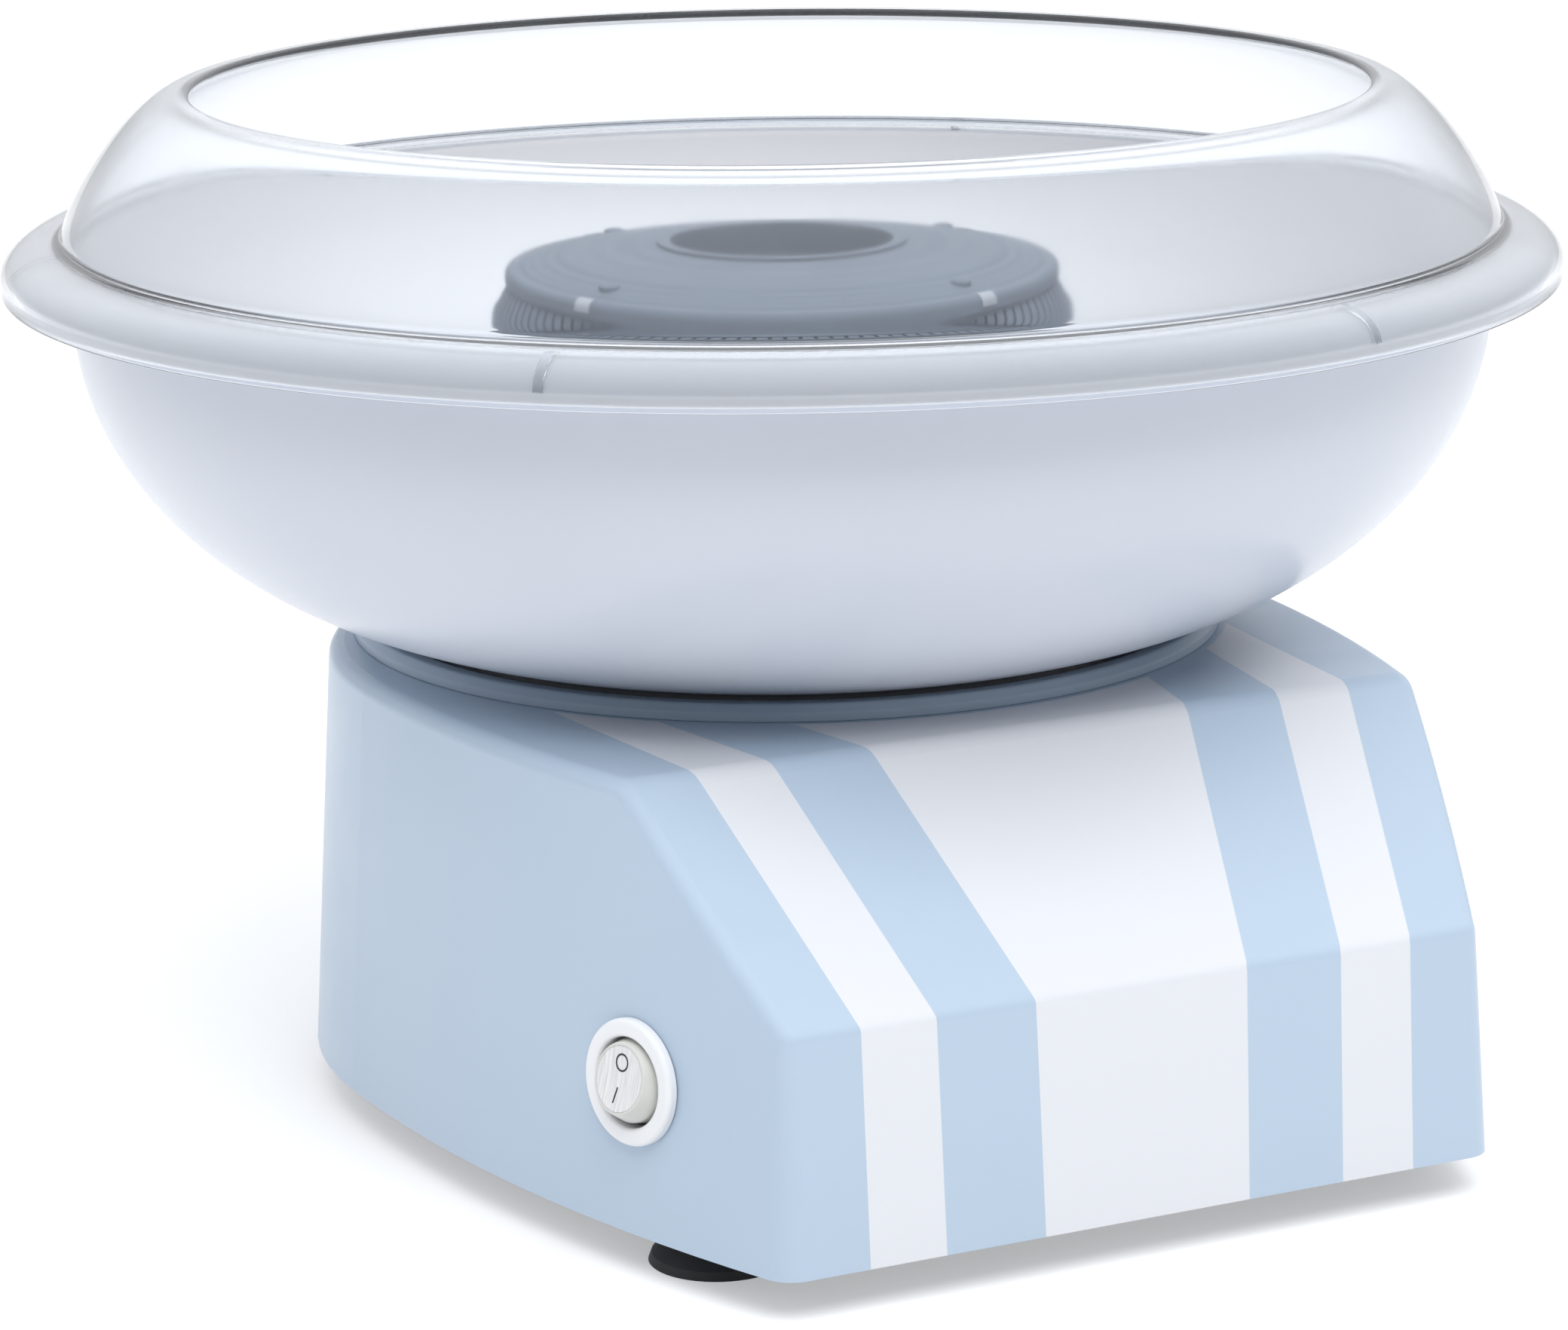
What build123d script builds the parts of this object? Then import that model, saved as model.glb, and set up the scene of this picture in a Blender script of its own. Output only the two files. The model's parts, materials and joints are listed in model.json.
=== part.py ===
from build123d import *
import os
from math import atan2, cos, degrees, radians, sin, sqrt, tan

# Cotton candy machine, millimetres. +Z is up, Z = 0 is the table, and the spin axis is X = Y = 0.
# The slanted front faces -Y and the switch is on the -X side.

# ---------------------------------------------------------------- base casing
FOOT_HEIGHT = 8.0        # the casing's lower edge stands this far above the table
CASING_HEIGHT = 82.6
FRONT_Y = -148.1         # front face at the lower edge
FRONT_HALF_WIDTH = 73.8
BACK_RADIUS = 101.5      # the rounded back, and half the greatest width
BACK_CENTRE_Y = -10.0
CORNER_RADIUS = 6.0      # upright front corners
DRAFT = 3.5              # degrees, all round
WALL = 2.6
FOLD_LOW = (-145.6, 52.0)     # (y, z) of the crease between the upright front and the slanted panel
FOLD_HIGH = (-103.2, 90.6)    # (y, z) of the crease between the slanted panel and the deck
DECK_Z = FOOT_HEIGHT + CASING_HEIGHT
RECESS_RADIUS = 83.0
RECESS_Z = 86.0
DECK_HOLE_RADIUS = 30.0
SIDE_RADIUS = (
    (BACK_CENTRE_Y - FRONT_Y) ** 2 + (BACK_RADIUS - FRONT_HALF_WIDTH) ** 2
) / (2 * (BACK_RADIUS - FRONT_HALF_WIDTH))
SIDE_CENTRE_X = SIDE_RADIUS - BACK_RADIUS

# ---------------------------------------------------------------- bowl and lid
BOWL_CENTRE = (54.1, 158.1)   # (r, z) centre of the elliptical wall section
BOWL_RADII = (87.1, 67.2)
BOWL_WALL = 2.0
BOWL_HOLE_RADIUS = 62.0
COLLAR_TOP = 106.0
GASKET_TOP = 87.4
FOOT_RING = (70.6, 73.4)      # the ring under the bowl that stands on the gasket
LID_RADIUS = 155.0
LID_SKIRT_Z = 162.4
LID_BEAD_Z = 165.2            # height where the bead is widest
LID_BEAD_HEIGHT = 7.2
LID_STEP_RADIUS = 143.2       # the dome rises out of the bead here
LID_CREST = (119.3, 200.1)    # top of the dome, where it turns in to the hole
LID_HOLE_RADIUS = 116.8
LID_WALL = 1.6
LID_RIBS = 6
LID_BEAD_WIDTH = LID_RADIUS - LID_STEP_RADIUS
LIP_GAP = 0.6                 # between the bowl's rolled lip and the bead over it
LIP_RADII = (LID_BEAD_WIDTH - LID_WALL - LIP_GAP, LID_BEAD_HEIGHT - LID_WALL - LIP_GAP)
LIP_TOP = LID_BEAD_Z + LIP_RADII[1]
LIP_BOTTOM = 163.2

# ---------------------------------------------------------------- spinning head
HEAD_RADIUS = 55.5
HEAD_EDGE_Z = 162.4
HEAD_CROWN_Z = 166.7
SUGAR_HOLE_RADIUS = 23.6
PAN_RADIUS = 58.5
PAN_RIM_Z = 153.6
PAN_FLOOR_Z = 138.0
BAND_RADIUS = 52.0
SPACER_COUNT = 4
SPACER_RADIUS = 48.0
SPACER_ANGLE = 20.0
SPACER_TOP = 162.0

# ---------------------------------------------------------------- drive and heater
SHAFT_RADIUS = 2.5
SHAFT_TOP = 146.0
PIN_Z = 141.0
PIN_RADIUS = 1.2
PIN_LENGTH = 14.0
HUB_RADIUS = 9.0
TOWER_RADIUS = 53.0
TOWER_TOP = 133.0
TOWER_FLANGE_RADIUS = 60.0
HEATER_RADIUS = 38.0
HEATER_Z = 128.0
HEATER_TUBE = 3.2
HEATER_ENDS = (84.0, 96.0)    # angles of the heater's two legs
MOTOR_RADIUS = 19.0
MOTOR_TOP = 75.0
MOTOR_LENGTH = 50.0
POST_REACH = 30.0             # motor post centres are at (+-POST_REACH, +-POST_REACH)

# ---------------------------------------------------------------- switch
SWITCH_Y = -110.7
SWITCH_Z = 36.6
BEZEL_RADIUS = 11.75
BEZEL_HEIGHT = 2.0
SWITCH_WELL_RADIUS = 8.4
ROCKER_RADIUS = 7.9
ROCKER_FACE_RADIUS = 6.6
ROCKER_TOP = 3.8         # the face's rim above the wall, before the tilt
ROCKER_DISH = 40.0       # radius of the hollow in the face
ROCKER_TILT = 10.0       # each way from level; the rest pose is the off side pressed in
TRUNNION_DEPTH = 2.0     # the rocker turns about an axis this far below the wall
TRUNNION_RADIUS = 1.2

# ---------------------------------------------------------------- feet and cover
FOOT_PLACES = [(side * x, y) for side in (-1, 1) for x, y in ((69, -110), (58, 52))]
FOOT_RADIUS = 13.0
COVER_SCREWS = [(side * x, y) for side in (-1, 1) for x, y in ((54, -131), (88, -10), (40, 68))]
COVER_BOTTOM = 8.6
COVER_TOP = 11.0
RUNNING = 0.05                # radial clearance of running fits
INLET_Z = 24.0                # the cord inlet's centre in the back wall

# ---------------------------------------------------------------- electrics
BOARD_Z = 17.0
BOARD_CENTRE = (0.0, 50.0)
BOARD_SIZE = (62.0, 34.0)
BOARD_CORNERS = [
    (BOARD_CENTRE[0] + sx * 27.5, BOARD_CENTRE[1] + sy * 13.5) for sx in (-1, 1) for sy in (-1, 1)
]
TERMINAL_X = -23.0
TERMINAL_YS = (43.5, 50.0, 56.5)
TERMINAL_Z = BOARD_Z + 4.6


def face_of(*edges):
    """A face in the (r, z) half plane, from edges drawn in XY."""
    return Plane.XZ * make_face(edges)


def turned(*edges):
    """A solid of revolution about the spin axis."""
    return revolve(face_of(*edges), Axis.Z)


def turned_outline(points):
    """A solid of revolution from straight runs between (r, z) points."""
    return turned(*Polyline(*points, close=True).edges())


def tube(radius_out, radius_in, low, high):
    return Pos(0, 0, low) * extrude(Circle(radius_out) - Circle(radius_in), high - low)


def rod(radius, low, high, x=0.0, y=0.0):
    return Pos(x, y, low) * extrude(Circle(radius), high - low)


def around(count, start=0.0):
    return [start + i * 360 / count for i in range(count)]


# ================================================================ base casing
def plan(inset):
    """The casing's outline at its lower edge: flat front, bowed sides, round back."""
    side = SIDE_RADIUS - inset
    back = BACK_RADIUS - inset
    front_y = FRONT_Y + inset
    reach = sqrt(side ** 2 - (front_y - BACK_CENTRE_Y) ** 2) - SIDE_CENTRE_X
    mid_y = (front_y + BACK_CENTRE_Y) / 2
    mid_x = sqrt(side ** 2 - (mid_y - BACK_CENTRE_Y) ** 2) - SIDE_CENTRE_X
    outline = [
        Line((-reach, front_y), (reach, front_y)),
        ThreePointArc((reach, front_y), (mid_x, mid_y), (back, BACK_CENTRE_Y)),
        ThreePointArc((back, BACK_CENTRE_Y), (0, BACK_CENTRE_Y + back), (-back, BACK_CENTRE_Y)),
        ThreePointArc((-back, BACK_CENTRE_Y), (-mid_x, mid_y), (-reach, front_y)),
    ]
    face = make_face(outline)
    corners = face.vertices().sort_by(Axis.Y)[:2]
    return fillet(corners, max(CORNER_RADIUS - inset, 1.0))


def casing_block(inset):
    """A closed block of the casing's outer shape, or of its inside when inset is the wall."""
    block = extrude(plan(inset), CASING_HEIGHT - inset, taper=DRAFT)
    block = Pos(0, 0, FOOT_HEIGHT) * block
    run = (FOLD_HIGH[0] - FOLD_LOW[0], FOLD_HIGH[1] - FOLD_LOW[1])
    length = sqrt(run[0] ** 2 + run[1] ** 2)
    along = (run[0] / length, run[1] / length)
    inward = (along[1] * inset, -along[0] * inset)
    start = (FOLD_LOW[0] + inward[0], FOLD_LOW[1] + inward[1])
    reach = 2 * length
    below = (start[0] - along[0] * length, start[1] - along[1] * length)
    above = (start[0] + along[0] * reach, start[1] + along[1] * reach)
    outside = (start[0] - 2 * reach, start[1] + 2 * reach)
    wedge = extrude(Plane.YZ * Polygon(below, above, outside, align=None), 200, both=True)
    return block - wedge


def rounded_casing():
    """The outer block with soft creases; the lower one runs on round the deck's whole rim."""
    block = casing_block(0)
    high_crease = block.edges().filter_by(Axis.X).sort_by(Axis.Z)[-1]
    block = fillet(high_crease, 7.0)
    low_crease = [
        e for e in block.edges().filter_by(Axis.X)
        if abs(e.center().Z - FOLD_LOW[1]) < 4 and e.center().Y < FRONT_Y + 10
    ]
    return fillet(low_crease, 3.2)


def post(x, y, low, radius=4.2, bore=1.5, depth=14):
    outside = rod(radius, low, DECK_Z, x, y)
    return outside, rod(bore, low, low + depth, x, y)


def base_housing():
    outer = rounded_casing()
    inner = casing_block(WALL)
    shell = outer - inner
    floor_pan = rod(RECESS_RADIUS + WALL, RECESS_Z - WALL, DECK_Z)
    shell += floor_pan & outer
    shell -= rod(RECESS_RADIUS, RECESS_Z, DECK_Z + 1)
    shell -= rod(DECK_HOLE_RADIUS, RECESS_Z - WALL - 1, RECESS_Z + 1)
    shell -= rod(11.0, RECESS_Z - WALL - 1, RECESS_Z + 1, 0, HEATER_RADIUS)
    for x, y in COVER_SCREWS:
        outside, bore = post(x, y, COVER_TOP + 0.1)
        shell += (outside & outer) - rod(RECESS_RADIUS + 1, RECESS_Z - 1, DECK_Z + 1)
        shell -= bore
    for x in (-POST_REACH, POST_REACH):
        for y in (-POST_REACH, POST_REACH):
            shell += rod(4.5, MOTOR_TOP + 5.6, RECESS_Z - 1, x, y)
            shell -= rod(1.3, MOTOR_TOP + 5.6, RECESS_Z - 1.5, x, y)
    for angle in around(3, 90):
        x, y = 56.5 * cos(radians(angle)), 56.5 * sin(radians(angle))
        shell += rod(3.6, RECESS_Z - 8, RECESS_Z - 1, x, y)
        shell -= rod(1.25, RECESS_Z - 8.5, RECESS_Z + 1, x, y)
    shell -= SWITCH_PLANE * Cylinder(10.2, 12)
    shell -= INLET_PLANE * Cylinder(6.2, 14)
    return shell


def wall_plane(y, z, left=True):
    """The plane that touches the side wall at (y, z), its Z pointing out of the wall."""
    half = sqrt(SIDE_RADIUS ** 2 - (y - BACK_CENTRE_Y) ** 2) - SIDE_CENTRE_X
    lean = (z - FOOT_HEIGHT) * tan(radians(DRAFT))
    side = -1 if left else 1
    flat = Vector(side * (half + SIDE_CENTRE_X), y - BACK_CENTRE_Y, 0).normalized()
    point = Vector(side * half, y, z) - flat * lean
    normal = flat * cos(radians(DRAFT)) + Vector(0, 0, 1) * sin(radians(DRAFT))
    along = Vector(0, 0, 1).cross(flat)
    return Plane(origin=point, x_dir=along, z_dir=normal)


SWITCH_PLANE = wall_plane(SWITCH_Y, SWITCH_Z)
INLET_LEAN = (INLET_Z - FOOT_HEIGHT) * tan(radians(DRAFT))
INLET_PLANE = Plane(
    origin=(0, BACK_CENTRE_Y + BACK_RADIUS - INLET_LEAN, INLET_Z),
    x_dir=(1, 0, 0),
    z_dir=(0, cos(radians(DRAFT)), sin(radians(DRAFT))),
)


def bottom_cover():
    """The underside plate, with foot holes, air slots and the board's standoffs."""
    plate = Pos(0, 0, COVER_BOTTOM) * extrude(plan(WALL + 0.5), COVER_TOP - COVER_BOTTOM)
    for x, y in COVER_SCREWS:
        plate += rod(6.0, COVER_BOTTOM, COVER_TOP, x, y) & casing_block(WALL + 0.5)
        plate -= rod(1.9, COVER_BOTTOM - 1, COVER_TOP + 1, x, y)
        plate -= rod(3.4, COVER_BOTTOM - 1, COVER_BOTTOM + 1.3, x, y)
    for x, y in FOOT_PLACES:
        plate -= rod(3.6, COVER_BOTTOM - 1, COVER_TOP + 1, x, y)
    for i in range(-4, 5):
        slot = extrude(SlotOverall(44, 3.4), 10)
        plate -= Pos(0, -62 + i * 7.0, COVER_BOTTOM - 2) * slot
    for x, y in BOARD_CORNERS:
        plate += rod(3.2, COVER_TOP - 0.5, BOARD_Z, x, y)
        plate -= rod(1.1, COVER_TOP - 0.2, BOARD_Z + 1, x, y)
    return plate


def bowl_seat_ring():
    """The ring pressed into the deck recess, which the bowl sits just inside."""
    inner, step, outer = RECESS_RADIUS - 2.2, RECESS_RADIUS - 0.2, RECESS_RADIUS + 5.0
    low, top = RECESS_Z + 0.05, DECK_Z + 3.2
    return turned_outline([
        (inner, low),
        (step, low),
        (step, DECK_Z + 0.05),
        (outer, DECK_Z + 0.05),
        (outer - 0.3, DECK_Z + 1.6),
        (outer - 1.7, top),
        (step + 0.7, top),
        (inner, top - 2.3),
    ])


def cord_inlet_bush():
    flange = Pos(0, 0, 1.3) * Cylinder(9.0, 2.0)
    neck = Pos(0, 0, -3.0) * Cylinder(6.0, 7.0)
    collar = Pos(0, 0, -5.6) * Cylinder(7.2, 2.4)
    bush = flange + neck + collar - Cylinder(3.4, 30)
    return INLET_PLANE * bush


def suction_feet():
    foot = turned_outline([
        (0, 3.4), (7.0, 2.6), (FOOT_RADIUS - 1.2, 0), (FOOT_RADIUS, 0), (FOOT_RADIUS - 0.6, 1.6),
        (9.0, 5.2), (8.0, COVER_BOTTOM - 0.05), (3.4, COVER_BOTTOM - 0.05), (3.4, COVER_TOP + 0.1),
        (4.6, COVER_TOP + 0.1), (4.2, COVER_TOP + 3.0), (0, COVER_TOP + 3.6),
    ])
    return Compound(children=[Pos(x, y, 0) * foot for x, y in FOOT_PLACES])


def screw(x, y, head_z, length, shank=1.4, head=2.8, head_height=1.8, up=True):
    """A pan-head screw: the head's outer face is at head_z, and the shank runs up or down."""
    way = 1 if up else -1
    body = Pos(0, 0, way * head_height / 2) * Cylinder(head, head_height)
    body += Pos(0, 0, way * (head_height + length / 2 - 0.2)) * Cylinder(shank, length + 0.4)
    cross = Box(3.4, 0.8, 1.6) + Box(0.8, 3.4, 1.6)
    return Pos(x, y, head_z) * (body - cross)


def cover_screws():
    return Compound(children=[
        screw(x, y, COVER_BOTTOM - 0.7, 11, shank=1.45, head=3.1, head_height=1.9)
        for x, y in COVER_SCREWS
    ])


# ================================================================ bowl and lid
def ellipse_height(radius, drop=0.0):
    """Height of the bowl's wall section at a radius; drop shrinks the ellipse inwards."""
    a, b = BOWL_RADII[0] - drop, BOWL_RADII[1] - drop
    return BOWL_CENTRE[1] - b * sqrt(1 - ((radius - BOWL_CENTRE[0]) / a) ** 2)


def ellipse_angle(radius, drop=0.0):
    a = BOWL_RADII[0] - drop
    x = (radius - BOWL_CENTRE[0]) / a
    return degrees(atan2(-sqrt(1 - x * x), x)) % 360


def bowl():
    """The flared bowl: centre collar, elliptical wall, rolled lip and a foot ring underneath."""
    edge = BOWL_CENTRE[0] + BOWL_RADII[0]
    inner_edge = edge - BOWL_WALL
    collar_out = BOWL_HOLE_RADIUS + BOWL_WALL
    floor_low = ellipse_height(BOWL_HOLE_RADIUS)
    floor_high = ellipse_height(collar_out, BOWL_WALL)
    outside = EllipticalCenterArc(
        BOWL_CENTRE, *BOWL_RADII, start_angle=ellipse_angle(BOWL_HOLE_RADIUS),
        arc_size=360 - ellipse_angle(BOWL_HOLE_RADIUS))
    inside = EllipticalCenterArc(
        BOWL_CENTRE, BOWL_RADII[0] - BOWL_WALL, BOWL_RADII[1] - BOWL_WALL,
        start_angle=ellipse_angle(collar_out, BOWL_WALL),
        arc_size=360 - ellipse_angle(collar_out, BOWL_WALL))
    step, bead_z = LID_STEP_RADIUS, LID_BEAD_Z
    lip_out = step + LIP_RADII[0]
    lip_in = lip_out - BOWL_WALL
    under = LIP_TOP - BOWL_WALL
    section = [
        outside,
        Line((edge, BOWL_CENTRE[1]), (edge, under - 1.5)),
        TangentArc((edge, under - 1.5), (edge + 1.5, under), tangent=(0, 1)),
        Line((edge + 1.5, under), (step, under)),
        EllipticalCenterArc(
            (step, bead_z), lip_in - step, under - bead_z, start_angle=0, arc_size=90),
        Line((lip_in, bead_z), (lip_in, LIP_BOTTOM)),
        Line((lip_in, LIP_BOTTOM), (lip_out, LIP_BOTTOM)),
        Line((lip_out, LIP_BOTTOM), (lip_out, bead_z)),
        EllipticalCenterArc((step, bead_z), *LIP_RADII, start_angle=0, arc_size=90),
        Line((step, LIP_TOP), (inner_edge + 1.6, LIP_TOP)),
        TangentArc((inner_edge + 1.6, LIP_TOP), (inner_edge, LIP_TOP - 1.6), tangent=(-1, 0)),
        Line((inner_edge, LIP_TOP - 1.6), (inner_edge, BOWL_CENTRE[1])),
        inside,
        Line((collar_out, floor_high), (collar_out, COLLAR_TOP - 1)),
        TangentArc((collar_out, COLLAR_TOP - 1), (BOWL_HOLE_RADIUS, COLLAR_TOP - 1), tangent=(0, 1)),
        Line((BOWL_HOLE_RADIUS, COLLAR_TOP - 1), (BOWL_HOLE_RADIUS, floor_low)),
    ]
    dish = turned(*section)
    ring_in, ring_out = FOOT_RING
    foot = tube(ring_out, ring_in, GASKET_TOP, ellipse_height(ring_in + 1.4) + 0.6)
    return dish + foot


def bowl_gasket():
    ring_in, ring_out = FOOT_RING
    ring = tube(ring_out + 1.2, ring_in - 1.2, RECESS_Z + 0.05, GASKET_TOP)
    return fillet(ring.edges().filter_by(GeomType.CIRCLE), 0.4)


def lid():
    """The clear guard: bead over the bowl's lip, dome, and the turned-in edge of its wide hole."""
    t = LID_WALL
    r, z = LID_STEP_RADIUS, LID_BEAD_Z
    bead = LID_BEAD_WIDTH
    top = z + LID_BEAD_HEIGHT
    cr, cz = LID_CREST
    edge = LID_HOLE_RADIUS + t / 2
    section = [
        Line((LID_RADIUS - t - 0.1, LID_SKIRT_Z), (LID_RADIUS - 0.1, LID_SKIRT_Z)),
        Line((LID_RADIUS - 0.1, LID_SKIRT_Z), (LID_RADIUS, z)),
        EllipticalCenterArc((r, z), bead, LID_BEAD_HEIGHT, arc_size=90),
        Bezier((r, top), (r - 1.7, top + 6.1), (cr + 9.2, cz), (cr, cz)),
        Line((cr, cz), (edge, cz)),
        TangentArc((edge, cz), (edge, cz - t), tangent=(-1, 0)),
        Line((edge, cz - t), (cr, cz - t)),
        Bezier((cr, cz - t), (cr + 9.2 - 0.5, cz - t), (r - 1.7 - t, top + 6.1 - 0.5), (r - t, top)),
        Line((r - t, top), (r - t, top - t)),
        Line((r - t, top - t), (r, top - t)),
        EllipticalCenterArc((r, z), bead - t, LID_BEAD_HEIGHT - t, arc_size=90),
        Line((LID_RADIUS - t, z), (LID_RADIUS - t - 0.1, LID_SKIRT_Z)),
    ]
    guard = turned(*section)
    rib = lid_rib()
    for angle in around(LID_RIBS, 168):
        guard += Rot(0, 0, angle) * rib
    return guard


def lid_rib():
    """A thin web inside the bead: it rests on the bowl's lip and keeps the lid centred."""
    rest, root = 0.05, LIP_GAP + 0.4
    arch = Ellipse(LIP_RADII[0] + root, LIP_RADII[1] + root)
    arch -= Ellipse(LIP_RADII[0] + rest, LIP_RADII[1] + rest)
    arch = Pos(LID_STEP_RADIUS, LID_BEAD_Z) * arch
    reach = 30
    quarter = Pos(LID_STEP_RADIUS - 1.0 + reach / 2, LID_BEAD_Z + reach / 2) * Rectangle(reach, reach)
    return extrude(Plane.XZ * (arch & quarter), 0.9, both=True)


# ================================================================ spinning head
def head_upper_disc():
    """The shallow domed top with a rolled edge and the sugar opening."""
    skin = 1.2
    low = HEAD_EDGE_Z - 2.6
    section = [
        Line((SUGAR_HOLE_RADIUS, HEAD_CROWN_Z), (SUGAR_HOLE_RADIUS, HEAD_CROWN_Z - skin)),
        ThreePointArc(
            (SUGAR_HOLE_RADIUS, HEAD_CROWN_Z - skin), (41.0, HEAD_CROWN_Z - 1.55 - skin),
            (HEAD_RADIUS - 2.4, HEAD_EDGE_Z - skin)),
        Line((HEAD_RADIUS - 2.4, HEAD_EDGE_Z - skin), (HEAD_RADIUS - 1.2, low)),
        Line((HEAD_RADIUS - 1.2, low), (HEAD_RADIUS, low)),
        Line((HEAD_RADIUS, low), (HEAD_RADIUS, HEAD_EDGE_Z - 1.2)),
        TangentArc((HEAD_RADIUS, HEAD_EDGE_Z - 1.2), (HEAD_RADIUS - 1.8, HEAD_EDGE_Z), tangent=(0, 1)),
        ThreePointArc(
            (HEAD_RADIUS - 1.8, HEAD_EDGE_Z), (41.0, HEAD_CROWN_Z - 1.5),
            (SUGAR_HOLE_RADIUS, HEAD_CROWN_Z)),
    ]
    disc = turned(*section)
    for angle in around(SPACER_COUNT, SPACER_ANGLE):
        disc -= Rot(0, 0, angle) * rod(1.5, PAN_FLOOR_Z, HEAD_CROWN_Z + 5, SPACER_RADIUS, 0)
    return disc


def head_lower_pan():
    """The dish that melts and throws the sugar, open at the middle for the hub."""
    skin = 1.2
    section = [
        (HUB_RADIUS + 0.05, PAN_FLOOR_Z),
        (51.5, PAN_FLOOR_Z),
        (56.2, 146.0),
        (PAN_RADIUS - 0.9, PAN_RIM_Z - 3.0),
        (PAN_RADIUS, PAN_RIM_Z - 1.0),
        (PAN_RADIUS, PAN_RIM_Z),
        (PAN_RADIUS - 1.4, PAN_RIM_Z),
        (55.0, 146.6),
        (50.8, PAN_FLOOR_Z + skin),
        (HUB_RADIUS + 0.05, PAN_FLOOR_Z + skin),
    ]
    pan = turned_outline(section)
    for angle in around(SPACER_COUNT, SPACER_ANGLE):
        pan -= Rot(0, 0, angle) * rod(1.7, PAN_FLOOR_Z - 1, PAN_FLOOR_Z + 3, SPACER_RADIUS, 0)
    return pan


def head_mesh_band():
    """The slotted band between the pan and the top disc, which the sugar leaves through."""
    low, high = 142.2, 161.2
    band = tube(BAND_RADIUS, BAND_RADIUS - 0.8, low, high)
    slot = Box(6, 1.2, 9.0)
    cutters = [
        Rot(0, 0, a) * Pos(BAND_RADIUS, 0, (low + high) / 2) * slot for a in around(60)
    ]
    return band - cutters


def head_spacers():
    """Legs between the pan floor and the top disc."""
    leg = tube(2.4, 1.3, PAN_FLOOR_Z + 1.25, SPACER_TOP)
    return Compound(children=[
        Rot(0, 0, a) * Pos(SPACER_RADIUS, 0, 0) * leg for a in around(SPACER_COUNT, SPACER_ANGLE)
    ])


def head_screws():
    """Screws through the top disc into the legs; their heads show near its edge."""
    head_z = HEAD_CROWN_Z - 0.7
    one = screw(SPACER_RADIUS, 0, head_z, 7.5, shank=1.2, head=2.3, head_height=1.5, up=False)
    return Compound(children=[Rot(0, 0, a) * one for a in around(SPACER_COUNT, SPACER_ANGLE)])


def sugar_funnel():
    """The cup under the sugar opening; its foot stays above the pan floor."""
    t = 1.0
    r = SUGAR_HOLE_RADIUS
    return turned_outline([
        (r - 1.2, HEAD_CROWN_Z + 0.6),
        (r + 1.4, HEAD_CROWN_Z + 0.6),
        (r + 1.4, HEAD_CROWN_Z + 0.1),
        (r - 0.1, HEAD_CROWN_Z + 0.1),
        (r - 0.1, HEAD_CROWN_Z - 6.0),
        (r - 3.6, 146.0),
        (r - 3.6 - t, 146.0),
        (r - 1.2, HEAD_CROWN_Z - 6.0),
    ])


def head_hub():
    """The hub of the head: bored for the shaft, slotted below for the drive pin."""
    hub = rod(HUB_RADIUS, PAN_FLOOR_Z - 3.0, 147.0)
    hub += rod(HUB_RADIUS + 3.0, PAN_FLOOR_Z - 1.6, PAN_FLOOR_Z - 0.05)
    hub -= rod(SHAFT_RADIUS + RUNNING, 0, SHAFT_TOP + 0.3)
    slot = Box(PIN_LENGTH + 1.0, 2 * PIN_RADIUS + 0.4, 20)
    hub -= Pos(0, 0, PIN_Z + PIN_RADIUS + 0.3 - 10) * slot
    return hub


# ================================================================ drive
def motor_shaft():
    shaft = rod(SHAFT_RADIUS, 21.5, SHAFT_TOP)
    shaft = chamfer(shaft.edges().filter_by(GeomType.CIRCLE), 0.4)
    return shaft - Pos(0, 0, PIN_Z) * Rot(0, 90, 0) * Cylinder(PIN_RADIUS, 20)


def drive_pin():
    return Pos(0, 0, PIN_Z) * Rot(0, 90, 0) * Cylinder(PIN_RADIUS, PIN_LENGTH)


def shaft_collar():
    """The collar that keeps grease and sugar off the motor's front bearing."""
    return tube(7.0, SHAFT_RADIUS, 96.0, 100.0) + tube(4.4, SHAFT_RADIUS, 92.0, 96.0)


def motor_can():
    low, high = MOTOR_TOP - MOTOR_LENGTH, MOTOR_TOP
    can = rod(MOTOR_RADIUS, low, high) - rod(MOTOR_RADIUS - 1.6, low - 1, high - 1.6)
    can -= rod(6.0, high - 3, high + 1)
    for x in (-12.5, 12.5):
        can -= rod(1.3, high - 4, high + 1, x, 0)
    return can


def motor_magnets():
    """Two curved magnets inside the can."""
    ring = tube(MOTOR_RADIUS - 1.7, 13.6, 32.0, 68.0)
    gap = Box(60, 12, 200)
    halves = ring - gap
    return Compound(children=list(halves.solids()))


def motor_end_cap():
    low, high = 19.0, MOTOR_TOP - MOTOR_LENGTH - 0.05
    cap = rod(MOTOR_RADIUS, low + 2.0, high) + rod(8.0, low, low + 2.5)
    cap += tube(MOTOR_RADIUS - 1.8, 14.7, high - 0.5, high + 2.0)
    return cap - rod(5.0, low - 1, high + 3)


def front_bearing():
    return tube(5.9, SHAFT_RADIUS + RUNNING, MOTOR_TOP - 5.0, MOTOR_TOP + 2.0)


def rear_bearing():
    return tube(4.9, SHAFT_RADIUS + RUNNING, 19.5, 24.5)


def armature():
    """The slotted rotor core on the shaft."""
    core = tube(12.6, SHAFT_RADIUS, 35.0, 65.0)
    for angle in around(8):
        core -= Rot(0, 0, angle) * Pos(11.2, 0, 50) * Box(3.4, 1.6, 40)
        core -= Rot(0, 0, angle) * Pos(8.4, 0, 50) * Cylinder(1.7, 40)
    return core


def armature_windings():
    ends = tube(11.0, SHAFT_RADIUS + 2.0, 65.1, 69.5) + tube(11.0, SHAFT_RADIUS + 2.0, 30.5, 34.9)
    for angle in around(8):
        ends += Rot(0, 0, angle) * Pos(8.4, 0, 50) * Cylinder(1.5, 32)
    return ends


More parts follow.
